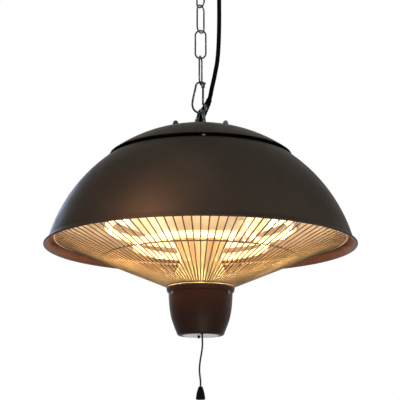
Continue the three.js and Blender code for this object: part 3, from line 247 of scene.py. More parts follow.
class Finish:
    """A surface whose colour, gloss and relief come from patterns that stay on the piece

    A pattern is a shader output, or a noise's scale and detail and how it is stretched.
    """

    def __init__(self, name, **constants):
        self.material = bpy.data.materials.new(name)
        self.material.use_nodes = True
        self.tree = self.material.node_tree
        self.shader = self.tree.nodes["Principled BSDF"]
        for socket, value in constants.items():
            self.shader.inputs[socket.replace("_", " ")].default_value = value
        self.place = self.node("ShaderNodeTexCoord").outputs["Object"]

    def node(self, kind, values=(), sources=(), **settings):
        return new_node(self.tree, kind, values, sources, **settings)

    def noise(self, scale, detail, stretch=(1, 1, 1)):
        place = self.node("ShaderNodeMapping", {"Scale": stretch}, {"Vector": self.place})
        return self.node("ShaderNodeTexNoise", {"Scale": scale, "Detail": detail},
                         {"Vector": place.outputs[0]}).outputs[0]

    def pattern(self, source):
        return self.noise(*source) if isinstance(source, tuple) else source

    def cells(self, scale):
        return self.node("ShaderNodeTexVoronoi", {"Scale": scale}, {"Vector": self.place}).outputs[0]

    def parts(self, place):
        """The X, Y and Z of a place, as outputs"""
        return self.node("ShaderNodeSeparateXYZ", (), {0: place}).outputs

    def sums(self, operation, *terms):
        numbers = {i: term for i, term in enumerate(terms) if isinstance(term, (int, float))}
        others = {i: term for i, term in enumerate(terms) if i not in numbers}
        return self.node("ShaderNodeMath", numbers, others, operation=operation).outputs[0]

    def between(self, source, low, high, start=0.3, end=0.7):
        ends = {"From Min": start, "From Max": end, "To Min": low, "To Max": high}
        return self.node("ShaderNodeMapRange", ends, {"Value": self.pattern(source)}).outputs[0]

    def by_height(self, start, end, low=0):
        """A share that rises to 1 between two heights of the frame"""
        return self.between(self.parts(self.place)["Z"], low, 1, start * MM, end * MM)

    def shades(self, source, *stops):
        """Colours spread over a pattern, each with its place in the pattern's range"""
        ramp = self.node("ShaderNodeValToRGB", (), {0: self.pattern(source)})
        marks = ramp.color_ramp.elements
        while len(marks) < len(stops):
            marks.new(0.5)
        for mark, (at, colour) in zip(marks, stops):
            mark.position = at
            mark.color = (*colour, 1)
        return ramp.outputs[0]

    def tones(self, source, base, *stops):
        """Lighter and darker tones of one colour spread over a pattern"""
        return self.shades(source, *[(at, tone(base, share)) for at, share in stops])

    def mixed(self, share, first, second):
        made = self.node("ShaderNodeMix", (), {0: share}, data_type="RGBA")
        for socket, value in zip((made.inputs[6], made.inputs[7]), (first, second)):
            if isinstance(value, bpy.types.NodeSocket):
                self.tree.links.new(value, socket)
            else:
                socket.default_value = (*value, 1)
        return made.outputs[2]

    def colour(self, source, socket="Base Color"):
        self.tree.links.new(source, self.shader.inputs[socket])

    def rough(self, source, low, high):
        self.tree.links.new(self.between(source, low, high), self.shader.inputs["Roughness"])

    def relief(self, *layers):
        """Fine relief, one layer over the other, each with its depth in metres"""
        normal = ()
        for source, depth in layers:
            bump = self.node("ShaderNodeBump", {"Strength": 1.0, "Distance": depth},
                             {"Height": self.pattern(source), **dict(normal)})
            normal = {"Normal": bump.outputs[0]}
        self.tree.links.new(bump.outputs[0], self.shader.inputs["Normal"])


def tone(colour, share):
    return tuple(min(part * share, 1) for part in colour)


def enamel():
    """Bronze-brown enamel with fine flake, soft orange peel and a warm drift in its tone"""
    base = colours().enamel
    finish = Finish("bronze_enamel", Metallic=0.5, Specular_IOR_Level=0.02,
                    Specular_Tint=(0.45, 0.44, 0.43, 1))
    body = finish.tones((9, 3), base, (0.3, 0.86), (0.52, 1), (0.72, 1.16))
    glint = finish.between(finish.cells(1500), 1, 0, 0.0, 0.22)
    finish.colour(finish.mixed(finish.sums("MULTIPLY", glint, 0.35), body, tone(base, 2.4)))
    finish.rough((60, 5), 0.4, 0.5)
    finish.relief(((420, 3), 0.00004), ((28, 2), 0.00012))
    return finish.material


def shell_enamel():
    """Darker enamel of the switch housing, painted lighter and warmer at its top as a painted warm highlight,
    with pale streaks up and down it
    """
    base = colours().housing
    finish = Finish("dark_enamel", Specular_IOR_Level=0.06)
    body = finish.tones((22, 4), base, (0.3, 0.66), (0.5, 0.82), (0.75, 1))
    # browned is a painted warm highlight, lighter and warmer than the enamel, blended in towards the
    # housing's top
    browned = finish.shades((16, 3), (0.3, (0.026, 0.0115, 0.007)), (0.7, (0.05, 0.019, 0.0105)))
    body = finish.mixed(finish.by_height(HOUSING_FOOT + 18, HOUSING_FOOT + 48), body, browned)
    # Pale streaks that run up and down the housing
    pale_streaks = finish.between((260, 6, (1, 1, 0.15)), 0, 1, 0.66, 0.74)
    finish.colour(finish.mixed(finish.sums("MULTIPLY", pale_streaks, 0.3), body, tone(base, 3.2)))
    finish.rough((90, 5), 0.38, 0.5)
    finish.relief(((520, 3), 0.00003))
    return finish.material


def chain_steel():
    """Dark plated wire with drawn streaks and bright patches painted in as highlights"""
    base = colours().steel
    finish = Finish("dark_plated_wire", Metallic=0.9)
    streaks = finish.noise(900, 5, (1, 1, 0.06))
    dark = finish.tones(streaks, base, (0.3, 0.3), (0.7, 0.8))
    # Bright patches painted in as highlights on the plating
    painted_highlights = finish.between((130, 4), 0, 1, 0.52, 0.66)
    finish.colour(finish.mixed(painted_highlights, dark, tone(base, 2.8)))
    finish.rough(streaks, 0.18, 0.34)
    finish.relief((streaks, 0.00003))
    return finish.material


def zinc():
    """Zinc plate with its faint spangle"""
    finish = Finish("zinc_plate", Metallic=0.85)
    finish.colour(finish.shades(finish.cells(260), (0.0, (0.3, 0.3, 0.3)), (0.6, (0.19, 0.195, 0.2))))
    finish.rough((180, 4), 0.32, 0.5)
    finish.relief(((700, 4), 0.00004))
    return finish.material


def polished():
    """Spun aluminium with turning rings and light ripples"""
    finish = Finish("spun_aluminium", Metallic=0.92)
    flat = finish.node("ShaderNodeMapping", {"Scale": (1, 1, 0)}, {"Vector": finish.place}).outputs[0]
    out = finish.node("ShaderNodeVectorMath", (), {0: flat}, operation="LENGTH").outputs["Value"]
    line = finish.node("ShaderNodeCombineXYZ", (), {"X": out}).outputs[0]
    rings = finish.node("ShaderNodeTexNoise", {"Scale": 1300, "Detail": 4}, {"Vector": line}).outputs[0]
    finish.colour(finish.tones((16, 4), colours().reflector, (0.3, 0.86), (0.7, 1.08)))
    finish.rough(rings, 0.44, 0.58)
    finish.relief((rings, 0.00002), ((38, 3), 0.00006))
    return finish.material


def column_sheet():
    """Column's drawn aluminium, yellow at its foot and painted darker and warmer towards its top as painted
    shade
    """
    finish = Finish("yellowed_column_sheet", Metallic=0.5, Specular_IOR_Level=0.3)
    drawn_lines = finish.noise(420, 4, (1, 1, 0.05))
    unshaded_tone = finish.tones(drawn_lines, colours().column, (0.3, 0.9), (0.7, 1.08))
    # Towards the top the colour turns darker and warmer: painted shade, as less light falls there
    finish.colour(finish.mixed(finish.by_height(RIM - 34, RIM + 6), unshaded_tone, (0.46, 0.3, 0.16)))
    finish.rough(drawn_lines, 0.38, 0.52)
    finish.relief((drawn_lines, 0.00003))
    return finish.material


def guard_plate():
    """Plated guard wire, straw-coloured on its inner side and brown on its outer side, as painted light on
    the side towards the lamps and painted shade on the side away from them, the shade more so higher up
    """
    base = colours().guard
    finish = Finish("heat_tinted_wire_with_painted_light_and_shade", Specular_IOR_Level=0.08)
    heat = finish.noise(30, 3)
    # straw is the inner side's tone, painted lighter as painted lamp light; brown is the outer side's tone,
    # painted darker as painted shade
    straw = finish.tones(heat, base, (0.32, 1.3), (0.5, 1.8), (0.7, 2.4))
    brown = finish.tones(heat, base, (0.32, 0.22), (0.7, 0.4))
    place = finish.parts(finish.place)
    squares = [finish.sums("MULTIPLY", place[axis], place[axis]) for axis in "XY"]
    out = finish.sums("SQRT", finish.sums("ADD", *squares))
    wire_line = finish.sums("MULTIPLY", finish.sums("SUBTRACT", out, GUARD_FOOT * MM), GUARD_SLOPE)
    above = finish.sums("SUBTRACT", place["Z"], wire_line)
    # outer picks the wires' outer side, which takes the painted shade, more so higher up
    outer = finish.between(above, 1, 0, (GUARD_LOW - 0.6) * MM, (GUARD_LOW + 0.1) * MM)
    shade_by_height = finish.by_height(RIM - 40, RIM - 10, 0.45)
    finish.colour(finish.mixed(finish.sums("MULTIPLY", outer, shade_by_height), straw, brown))
    finish.rough((500, 3), 0.4, 0.56)
    finish.relief(((900, 3), 0.00003))
    return finish.material


def glowing(finish, heat):
    """Gives a finish its colours as light too"""
    finish.colour(heat)
    finish.colour(heat, "Emission Color")
    finish.shader.inputs["Emission Strength"].default_value = colours().glow_strength
    return finish.material


def lamp_glass():
    """Clear lamp tube, faintly lit by the gas in it"""
    finish = Finish("clear_lamp_tube", Alpha=0.38, Specular_IOR_Level=0.4)
    haze = finish.noise(210, 3)
    finish.rough(haze, 0.08, 0.16)
    return glowing(finish, finish.tones(haze, colours().glow, (0.3, 0.75), (0.7, 1)))


def filament():
    """White-hot wound wire, a little cooler in places"""
    finish = Finish("glowing_filament", Roughness=0.6)
    return glowing(finish, finish.tones((160, 3), colours().glow, (0.3, 0.7), (0.65, 1)))


def inner_enamel():
    """Inside of the shade: bright lining above the guard's rim, and down to the lip brown enamel painted
    lighter and warmer than the outside's, as painted light from the lamps
    """
    finish = Finish("shade_lining", Specular_IOR_Level=0.12)
    # brown is the inside enamel, painted lighter and warmer as painted light from the lamps
    brown = finish.tones((14, 4), colours().inside, (0.3, 0.78), (0.52, 1), (0.72, 1.22))
    bright = finish.tones((26, 4), colours().lining, (0.3, 0.85), (0.7, 1.12))
    finish.colour(finish.mixed(finish.by_height(RIM + 13, RIM + 40), brown, bright))
    finish.rough((70, 5), 0.36, 0.5)
    finish.relief(((420, 3), 0.00004))
    return finish.material


def along_cord(finish):
    """The places round and along a cord, as outputs"""
    return finish.parts(finish.node("ShaderNodeUVMap", uv_map="UVMap").outputs[0])


def slanted_waves(finish, parts, around_share, along_share):
    """Waves that climb round a cord"""
    slant = finish.sums("ADD", finish.sums("MULTIPLY", parts["X"], around_share),
                        finish.sums("MULTIPLY", parts["Y"], along_share))
    return finish.sums("SINE", finish.sums("MULTIPLY", slant, FULL_TURN))


def lead_rubber():
    """Black jacket with the faint lay of the twisted cores under it"""
    finish = Finish("lead_jacket", Specular_IOR_Level=0.02)
    lay = slanted_waves(finish, along_cord(finish), 3, 1)
    grain = finish.noise(900, 4)
    finish.colour(finish.tones((70, 4), colours().rubber, (0.3, 0.8), (0.75, 1.5)))
    finish.rough(grain, 0.55, 0.7)
    finish.relief((lay, 0.00005), (grain, 0.00003))
    return finish.material


def braid():
    """Braided cord of the pull switch"""
    finish = Finish("braided_cord", Roughness=0.8, Specular_IOR_Level=0.1)
    parts = along_cord(finish)
    weave = finish.sums("MULTIPLY", *[slanted_waves(finish, parts, 9 * side, 4) for side in (1, -1)])
    finish.colour(finish.shades(finish.between(weave, 0, 1, -1, 1),
                                (0.2, (0.018, 0.017, 0.018)), (0.8, (0.06, 0.056, 0.058))))
    finish.relief((weave, 0.00018))
    return finish.material


# Finishes of one kind: the material's name, the shader's constants, the colours' pattern with its darker and
# lighter colour, the gloss's pattern and range, and the relief's pattern and depth in metres
PLAIN = {
    # Dull black-brown enamel of the ring in the vent gap
    "gap": ("vent_ring_enamel", {"Specular_IOR_Level": 0.02},
            (30, 4), (0.006, 0.0045, 0.0038), (0.011, 0.008, 0.0065),
            (120, 5), (0.5, 0.62), (520, 3), 0.00003),
    # Bright plated screw head
    "screw": ("bright_screw_plate", {"Metallic": 0.9},
              (1600, 3), (0.62, 0.62, 0.6), (0.85, 0.85, 0.84),
              (1600, 3), (0.2, 0.36), (1600, 3), 0.00002),
    # Guard's outer ring, plated and browned in patches
    "rim_ring": ("guard_rim_plate", {"Metallic": 0.3, "Specular_IOR_Level": 0.3},
                 (90, 4), (0.42, 0.3, 0.22), (0.62, 0.48, 0.36),
                 (500, 4), (0.3, 0.44)),
    # Unglazed lamp ceramic with fine pores
    "ceramic": ("lamp_ceramic", {},
                (120, 4), (0.72, 0.67, 0.56), (0.86, 0.82, 0.72),
                (1400, 5), (0.65, 0.85), (1400, 5), 0.00008),
    # Moulded black plastic with a fine grain
    "black": ("black_moulding", {"Specular_IOR_Level": 0.03},
              (60, 3), (0.003, 0.0027, 0.0027), (0.006, 0.0055, 0.0055),
              (1100, 4), (0.45, 0.6), (1100, 4), 0.00005),
    # Pale lilac-grey moulding with a satin grain
    "grey": ("pale_grey_moulding", {"Specular_IOR_Level": 0.2},
             (45, 4), (0.64, 0.62, 0.64), (0.74, 0.72, 0.74),
             (1000, 4), (0.4, 0.54), (1000, 4), 0.00004),
    # Nickel-plated plug pins
    "pins": ("nickel_pins", {"Metallic": 0.95},
             (1500, 3, (1, 0.1, 1)), (0.55, 0.53, 0.5), (0.72, 0.7, 0.66),
             (1500, 3, (1, 0.1, 1)), (0.2, 0.34)),
    # The collar's top edge, rubbed bright
    "lip": ("rubbed_edge", {"Metallic": 0.6},
            (300, 4), (0.045, 0.03, 0.024), (0.09, 0.06, 0.05),
            (300, 4), (0.35, 0.5)),
}


def plain(name, constants, tints, dark, light, gloss, gloss_range, relief=None, depth=0, start=0.3):
    finish = Finish(name, **constants)
    finish.colour(finish.shades(tints, (start, dark), (0.7, light)))
    finish.rough(gloss, *gloss_range)
    if relief:
        finish.relief((relief, depth))
    return finish.material


def bright_bracket():
    """Bright folded sheet of the lamp holders, warmed by the lamps"""
    base = colours().reflector
    grain = (600, 4, (1, 1, 0.2))
    return plain("bright_holder_sheet", {"Metallic": 0.6}, grain, tone(base, 0.95), tone(base, 1.2),
                 grain, (0.3, 0.46), grain, 0.00002)


def hoop_plate():
    """The guard's middle hoop, browned darker than its wires"""
    base = tone(colours().guard, 0.5)
    return plain("browned_hoop", {"Metallic": 0.15, "Specular_IOR_Level": 0.15}, (40, 3),
                 tone(base, 0.7), tone(base, 1.5), (500, 3), (0.3, 0.46), (900, 3), 0.00003, 0.32)


MAKERS = {
    "enamel": enamel, "shell": shell_enamel, "steel": chain_steel, "zinc": zinc, "polished": polished,
    "bright": bright_bracket, "column": column_sheet, "guard": guard_plate, "hoop": hoop_plate,
    "lamp": lamp_glass, "filament": filament, "inside": inner_enamel, "rubber": lead_rubber, "braid": braid,
}
MADE = {}


def finish_of(name):
    if name not in MADE:
        MADE[name] = plain(*PLAIN[name]) if name in PLAIN else MAKERS[name]()
    return MADE[name]


# Modelling

def metres(*place):
    return tuple(part * MM for part in place)


def in_metres(line):
    return [metres(*place) for place in line]


def round_axis(radius, turn, height):
    """The place at a distance from the heater's axis and a turn round it"""
    angle = radians(turn)
    return (radius * cos(angle), radius * sin(angle), height)


def lifted(places, height):
    return [(*place[:-1], place[-1] + height) for place in places]


def clear_selection():
    bpy.ops.object.select_all(action="DESELECT")


def pick(*pieces):
    clear_selection()
    for piece in pieces:
        piece.select_set(True)
    bpy.context.view_layer.objects.active = pieces[0]


def edit_all():
    bpy.ops.object.mode_set(mode="EDIT")
    bpy.ops.mesh.select_all(action="SELECT")


def leave_edit():
    bpy.ops.object.mode_set(mode="OBJECT")


def extrude_selected(*way):
    bpy.ops.mesh.extrude_region_move(TRANSFORM_OT_translate={"value": metres(*way)})


def spin_selected(steps, angle=FULL_TURN, centre=(0, 0, 0), axis=(0, 0, 1), dupli=False):
    bpy.ops.mesh.spin(steps=steps, angle=angle, center=metres(*centre), axis=axis, dupli=dupli)


def joined(*pieces):
    pick(*pieces)
    bpy.ops.object.join()
    return pieces[0]


def fixed(piece):
    """Works a piece's place, turn and scale into its mesh"""
    pick(piece)
    bpy.ops.object.transform_apply(location=True, rotation=True, scale=True)
    return piece


def placed(piece, place=(0, 0, 0), turn=(0, 0, 0)):
    piece.location = metres(*place)
    piece.rotation_euler = [radians(part) for part in turn]
    return fixed(piece)


def copied(piece, name, place, turn):
    """A copy with its own mesh, at its own place"""
    pick(piece)
    bpy.ops.object.duplicate(linked=False)
    copy = bpy.context.object
    copy.name = name
    return placed(copy, place, turn)


def tidy_mesh(piece, reach=0.001):
    """Merges points that lie within the reach and turns the faces outwards"""
    pick(piece)
    edit_all()
    bpy.ops.mesh.remove_doubles(threshold=reach * MM)
    bpy.ops.mesh.normals_make_consistent(inside=False)
    leave_edit()
    return piece


def spun(name, outline, steps=96):
    """Spins an outline of radius and height round the Z axis, closed unless it starts on the axis"""
    closed = [*outline, outline[0]] if outline[0][0] else outline
    clear_selection()
    bpy.ops.mesh.primitive_plane_add(size=MM, location=metres(closed[0][0], 0, closed[0][1]))
    piece = bpy.context.object
    piece.name = name
    edit_all()
    bpy.ops.mesh.merge(type="CENTER")
    for (from_out, from_up), (out, up) in zip(closed, closed[1:]):
        move = metres(out - from_out, 0, up - from_up)
        bpy.ops.mesh.extrude_vertices_move(TRANSFORM_OT_translate={"value": move})
    bpy.ops.mesh.select_all(action="SELECT")
    spin_selected(steps)
    leave_edit()
    return tidy_mesh(fixed(piece))


def ring_section(name, thickness, place, sides, turn=(0, 0, 0)):
    """Leaves a circle in edit mode, to be drawn out into a wire or tube"""
    clear_selection()
    bpy.ops.mesh.primitive_circle_add(vertices=sides, radius=thickness / 2 * MM, location=metres(*place),
                                      rotation=[radians(part) for part in turn])
    piece = bpy.context.object
    piece.name = name
    edit_all()
    return piece


def bent_bar(name, places, thickness, roundness=4, taper=None):
    """A round bar along the places given; taper gives each place's share of the thickness"""
    clear_selection()
    bpy.ops.curve.primitive_bezier_curve_add(location=(0, 0, 0))
    shape = bpy.context.object.data
    shape.splines.clear()
    line = shape.splines.new("POLY")
    line.points.add(len(places) - 1)
    for point, place, share in zip(line.points, places, taper or [1] * len(places)):
        point.co = (*metres(*place), 1)
        point.radius = share
    shape.bevel_depth = thickness / 2 * MM
    shape.bevel_resolution = roundness
    shape.use_fill_caps = True
    bpy.ops.object.convert(target="MESH")
    piece = bpy.context.object
    piece.name = name
    return tidy_mesh(piece)


def rounded_bar(name, line, thickness, reach, steps=4):
    """A bent bar whose two ends are rounded over a short reach"""
    def run(end, inner):
        way = (Vector(inner) - Vector(end)).normalized()
        return [tuple(Vector(end) + way * reach * (i / steps) ** 2) for i in range(steps)]
    places = [*run(line[0], line[1]), *line[1:-1], *reversed(run(line[-1], line[-2]))]
    ease = [sqrt(1 - (1 - (i + 0.3) / steps) ** 2) for i in range(steps)]
    taper = [*ease, *[1] * (len(places) - 2 * steps), *reversed(ease)]
    return bent_bar(name, places, thickness, taper=taper)


def smooth_line(places, steps):
    """Places along the smooth line that passes through the ones given"""
    points = [Vector(place) for place in places]
    points = [points[0] * 2 - points[1], *points, points[-1] * 2 - points[-2]]
    line = []
    for before, here, there, after in zip(points, points[1:], points[2:], points[3:]):
        for t in [k / steps for k in range(steps)]:
            line.append(0.5 * (2 * here + (there - before) * t
                               + (2 * before - 5 * here + 4 * there - after) * t ** 2
                               + (3 * here - before - 3 * there + after) * t ** 3))
    return [tuple(point) for point in [*line, points[-2]]]


def stepped(line, count):
    """The line's places again, evenly spaced"""
    points = [Vector(place) for place in line]
    runs = [0.0]
    for a, b in zip(points, points[1:]):
        runs.append(runs[-1] + (b - a).length)
    out = []
    at = 0
    for k in range(count + 1):
        want = runs[-1] * k / count
        while at < len(runs) - 2 and runs[at + 1] < want:
            at += 1
        gap = runs[at + 1] - runs[at]
        out.append(tuple(points[at].lerp(points[at + 1], (want - runs[at]) / gap if gap else 0)))
    return out


def tube(name, line, radius_at, sides=20):
    """A soft tube along a line of places in metres, with a UV map that runs round it and along it"""
    points = [Vector(place) for place in line]
    count = len(points)
    vertices, shares = [], []
    side = None
    run = 0.0
    for i, point in enumerate(points):
        way = (points[min(i + 1, count - 1)] - points[max(i - 1, 0)]).normalized()
        side = way.orthogonal().normalized() if side is None else side
        side = (side - way * side.dot(way)).normalized()
        other = way.cross(side)
        if i:
            run += (point - points[i - 1]).length
        radius = radius_at(i / (count - 1)) * MM
        for k in range(sides):
            angle = FULL_TURN * k / sides
            vertices.append(point + side * radius * cos(angle) + other * radius * sin(angle))
        shares.append(run / (FULL_TURN * radius_at(0) * MM))
    faces = []
    for i in range(count - 1):
        for k in range(sides):
            beside = (k + 1) % sides
            faces.append((i * sides + k, i * sides + beside, (i + 1) * sides + beside, (i + 1) * sides + k))
    walls = len(faces)
    faces.append(tuple(reversed(range(sides))))
    faces.append(tuple((count - 1) * sides + k for k in range(sides)))
    mesh = bpy.data.meshes.new(name)
    mesh.from_pydata(vertices, [], faces)
    around = mesh.uv_layers.new(name="UVMap")
    for number, face in enumerate(mesh.polygons):
        for corner, vertex in zip(face.loop_indices, face.vertices):
            share = (vertex % sides) / sides
            if number < walls and share == 0 and number % sides == sides - 1:
                share = 1
            around.data[corner].uv = (share, shares[vertex // sides])
    piece = bpy.data.objects.new(name, mesh)
    bpy.context.scene.collection.objects.link(piece)
    return piece


def dome_height(dome, radius):
    centre, reach = dome
    return centre + sqrt(reach ** 2 - radius ** 2)


def dome_radius(dome, height):
    centre, reach = dome
    return sqrt(reach ** 2 - (height - centre) ** 2)


def dome_arc(dome, wall, low, high, steps):
    """Radius and height places on a dome's wall, between two heights over the rim"""
    centre, reach = dome
    start, end = [asin(min((height - centre) / (reach - wall), 1)) for height in (low, high)]
    angles = [start + (end - start) * i / steps for i in range(steps + 1)]
    return [((reach - wall) * cos(a), centre + (reach - wall) * sin(a)) for a in angles]


def quarter(centre, radius, start, end, steps=5):
    """Places of radius and height on an arc between two turns"""
    angles = [radians(start + (end - start) * i / steps) for i in range(steps + 1)]
    return [(centre[0] + radius * cos(a), centre[1] + radius * sin(a)) for a in angles]


def bent(start, pull, end, steps):
    """Places on a curve from start to end that is pulled towards a third place"""
    shares = [i / steps for i in range(steps + 1)]
    return [tuple((1 - t) ** 2 * a + 2 * t * (1 - t) * b + t ** 2 * c for a, b, c in zip(start, pull, end))
            for t in shares]


def bevelled(piece, width, segments=2, angle=35):
    pick(piece)
    bevel = piece.modifiers.new("edges", "BEVEL")
    bevel.width = width * MM
    bevel.segments = segments
    bevel.limit_method = "ANGLE"
    bevel.angle_limit = radians(angle)
    bpy.ops.object.modifier_apply(modifier=bevel.name)
    return piece


def block(extent, place):
    clear_selection()
    bpy.ops.mesh.primitive_cube_add(size=1, location=metres(*place))
    made = bpy.context.object
    made.scale = metres(*extent)
    return fixed(made)


def hexagon(radius, depth, height, edge):
    """A six-sided nut with its middle at a height"""
    clear_selection()
    bpy.ops.mesh.primitive_cylinder_add(vertices=6, radius=radius * MM, depth=depth * MM,
                                        location=metres(0, 0, height))
    return bevelled(fixed(bpy.context.object), edge, 2, 40)


def screw_head(name, radius, height):
    """A pan head with a cross recess, its seat at height 0"""
    outline = [(0, 0), (radius, 0), (radius, height * 0.35)]
    outline += bent((radius * 0.97, height * 0.55), (radius * 0.8, height * 0.98), (0, height), 6)
    head = spun(name, outline, 28)
    width, reach = radius * 0.28, radius * 1.15
    for extent in ((reach, width, height), (width, reach, height)):
        bar = block(extent, (0, 0, height))
        pick(head)
        cut = head.modifiers.new("recess", "BOOLEAN")
        cut.operation = "DIFFERENCE"
        cut.object = bar
        bpy.ops.object.modifier_apply(modifier=cut.name)
        bpy.data.objects.remove(bar)
    return head


def softened(node, name, width, segments=2):
    """A copy of a solid of the frame with its edges rounded"""
    piece = bpy.data.objects.new(name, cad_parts[node].data.copy())
    bpy.context.scene.collection.objects.link(piece)
    pick(piece)
    edit_all()
    bpy.ops.mesh.remove_doubles(threshold=0.001 * MM)
    bpy.ops.mesh.dissolve_limited(angle_limit=radians(2))
    leave_edit()
    return bevelled(piece, width, segments)


def finished(piece, body, finish, slot, *replaced, angle=38):
    """Smooths a piece and gives it its finish, its body and the solids that it replaces; its slot is not used
    """
    pick(fixed(piece))
    bpy.ops.object.shade_smooth_by_angle(angle=radians(angle))
    piece.data.materials.clear()
    piece.data.materials.append(finish_of(finish))
    if body:
        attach(piece, body)
    if replaced:
        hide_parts(*replaced)
    return piece


def finish_faces(piece, finish, chosen):
    """Gives the chosen faces of a piece a further finish"""
    piece.data.materials.append(finish_of(finish))
    for face in piece.data.polygons:
        if chosen(face):
            face.material_index = len(piece.data.materials) - 1


def from_axis(face):
    return hypot(face.center.x, face.center.y) / MM


def set_round(head, node, places, tilts, body="heater", finish="zinc", slot="zinc", ending="", angle=25):
    """Copies a head to each of its places and removes the first one"""
    for number, (place, tilt) in enumerate(zip(places, tilts), 1):
        copy = copied(head, f"{node}_dressed_{number}{ending}", place, tilt)
        finished(copy, body, finish, slot, f"{node}_{number}", angle=angle)
    bpy.data.objects.remove(head)


# Pieces

def blended(tree, share, first, second):
    """Mixes two shaders"""
    sources = {0: share, 1: first.outputs[0], 2: second.outputs[0]}
    return new_node(tree, "ShaderNodeMixShader", (), sources)


def white_where_seen(tree, plain, seen):
    """Joins two shaders so that straight sight lines, gloss and glass meet the second one"""
    rays = new_node(tree, "ShaderNodeLightPath").outputs
    share = rays["Is Camera Ray"]
    for ray in ("Is Glossy Ray", "Is Transmission Ray"):
        share = new_node(tree, "ShaderNodeMath", (), {0: share, 1: rays[ray]}, operation="MAXIMUM").outputs[0]
    return blended(tree, share, plain, seen).outputs[0]


class HEATER_OT_stage(bpy.types.Operator):
    """Sets the camera, the soft lamps, the pale floor and the white surroundings"""
    bl_idname = "heater.stage"
    bl_label = "Camera, lamps and floor"

    def execute(self, context):
        scene = context.scene
        scene.view_settings.view_transform = "Standard"
        clear_selection()
        bpy.ops.object.camera_add(location=CAMERA_PLACE, rotation=(radians(CAMERA_TILT), 0, 0))
        camera = context.object
        camera.name = "photo_camera"
        camera.data.lens = CAMERA_LENS
        camera.data.sensor_width = 36
        camera.data.clip_end = 50
        scene.camera = camera
        for lamp in STAGE_LAMPS:
            self.lamp(*lamp)
        self.surroundings(scene)
        self.floor()
        return {"FINISHED"}

    def lamp(self, name, place, width, power, colour):
        clear_selection()
        aim = Vector((0, 0, RIM * MM)) - Vector(place)
        turn = aim.to_track_quat("-Z", "Y").to_euler()
        bpy.ops.object.light_add(type="AREA", location=place, rotation=turn)
        lamp = bpy.context.object
        lamp.name = name
        lamp.data.size = width
        lamp.data.energy = power
        lamp.data.color = colour
        lamp.visible_camera = False
        lamp.visible_glossy = name not in NOT_IN_GLOSS

    def surroundings(self, scene):
        world = bpy.data.worlds.new("white_surroundings")
        scene.world = world
        world.use_nodes = True
        tree = world.node_tree
        plain = tree.nodes["Background"]
        plain.inputs["Color"].default_value = (0.93, 0.95, 1.0, 1)
        plain.inputs["Strength"].default_value = 0.16
        seen = new_node(tree, "ShaderNodeBackground", {"Color": (1, 1, 1, 1), "Strength": 1.0})
        tree.links.new(white_where_seen(tree, plain, seen), tree.nodes["World Output"].inputs["Surface"])

    def floor(self):
        clear_selection()
        bpy.ops.mesh.primitive_plane_add(size=FLOOR_SIZE, location=(0, 0, FLOOR_HEIGHT))
        floor = bpy.context.object
        floor.name = "pale_floor"
        edit_all()
        bpy.ops.mesh.subdivide(number_cuts=3)
        leave_edit()
        finish = Finish("pale_floor", Base_Color=(0.9, 0.9, 0.9, 1), Roughness=0.9)
        tree = finish.tree
        white = finish.node("ShaderNodeEmission", {"Strength": 1.0})
        far = finish.node("ShaderNodeVectorMath", (), {0: finish.place}, operation="LENGTH").outputs["Value"]
        ends = {"From Min": 0.6, "From Max": 4.0, "To Min": 0.7, "To Max": 1.0}
        fade = finish.node("ShaderNodeMapRange", ends, {"Value": far}, interpolation_type="SMOOTHSTEP")
        surface = white_where_seen(tree, finish.shader, blended(tree, fade.outputs[0], finish.shader, white))
        tree.links.new(surface, tree.nodes["Material Output"].inputs["Surface"])
        floor.data.materials.append(finish.material)


def lead_line():
    """The places of the hanging lead in metres, from the coil down to the gland"""
    places = in_metres(lifted(reversed(LEAD_ROUTE), CAP_TOP))
    return stepped(smooth_line(places, 12), LEAD_LENGTHS * LEAD_STEPS)


class HEATER_OT_lead(bpy.types.Operator):
    """Makes the mains lead's hanging stretch, in one length for each joint of the chain"""
    bl_idname = "heater.lead"
    bl_label = "Mains lead"

    def execute(self, context):
        line = lead_line()
        radius = size("lead") / 2
        for i in range(LEAD_LENGTHS):
            part = line[i * LEAD_STEPS:(i + 1) * LEAD_STEPS + 1]
            piece = tube(f"lead_{i + 1}", part, lambda way: radius)
            finished(piece, None, "rubber", "cord_rubber")
            if i == LEAD_LENGTHS - 1:
                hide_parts("power_cord")
            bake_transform(piece)
        return {"FINISHED"}


class HEATER_OT_boot(bpy.types.Operator):
    """Makes the tapered rubber boot that the lead leaves the heater through, and the gland under it"""
    bl_idname = "heater.boot"
    bl_label = "Gland and boot"

    def execute(self, context):
        def radius_at(way):
            rib = BOOT_RIB * sin(FULL_TURN * BOOT_RIBS * way) if 0.12 < way < 0.9 else 0
            edge = 0.5 * max(0, (way - 0.96) / 0.04) ** 2
            return BOOT_FOOT - BOOT_TAPER * way + rib - edge

        line = stepped(smooth_line(in_metres(lifted(BOOT_ROUTE, CAP_TOP)), 12), 96)
        boot = tube("lead_boot", line, radius_at, 24)
        finished(boot, None, "rubber", "cord_rubber", "cord_boot")
        last = lead_line()[-LEAD_STEPS - 1:]
        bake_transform(boot)
        self.gland()
        return {"FINISHED"}

    def gland(self):
        low, top = span("cord_gland")
        foot = CAP_TOP - 1.2
        nut = hexagon(7.9, 5.2, foot + 2.6, 0.5)
        outline = [(0, low), (5, low), (5, foot), (7, foot + 5), (7, top - 2.6)]
        outline += [*quarter((6.2, top - 0.8), 0.8, 0, 90, 4), (0, top)]
        dome = spun("gland_dome", outline, 40)
        nut.name = "lead_gland"
        piece = placed(joined(nut, dome), (-2, 22, 0))
        finished(piece, "heater", "black", "black_plastic", "cord_gland", angle=30)


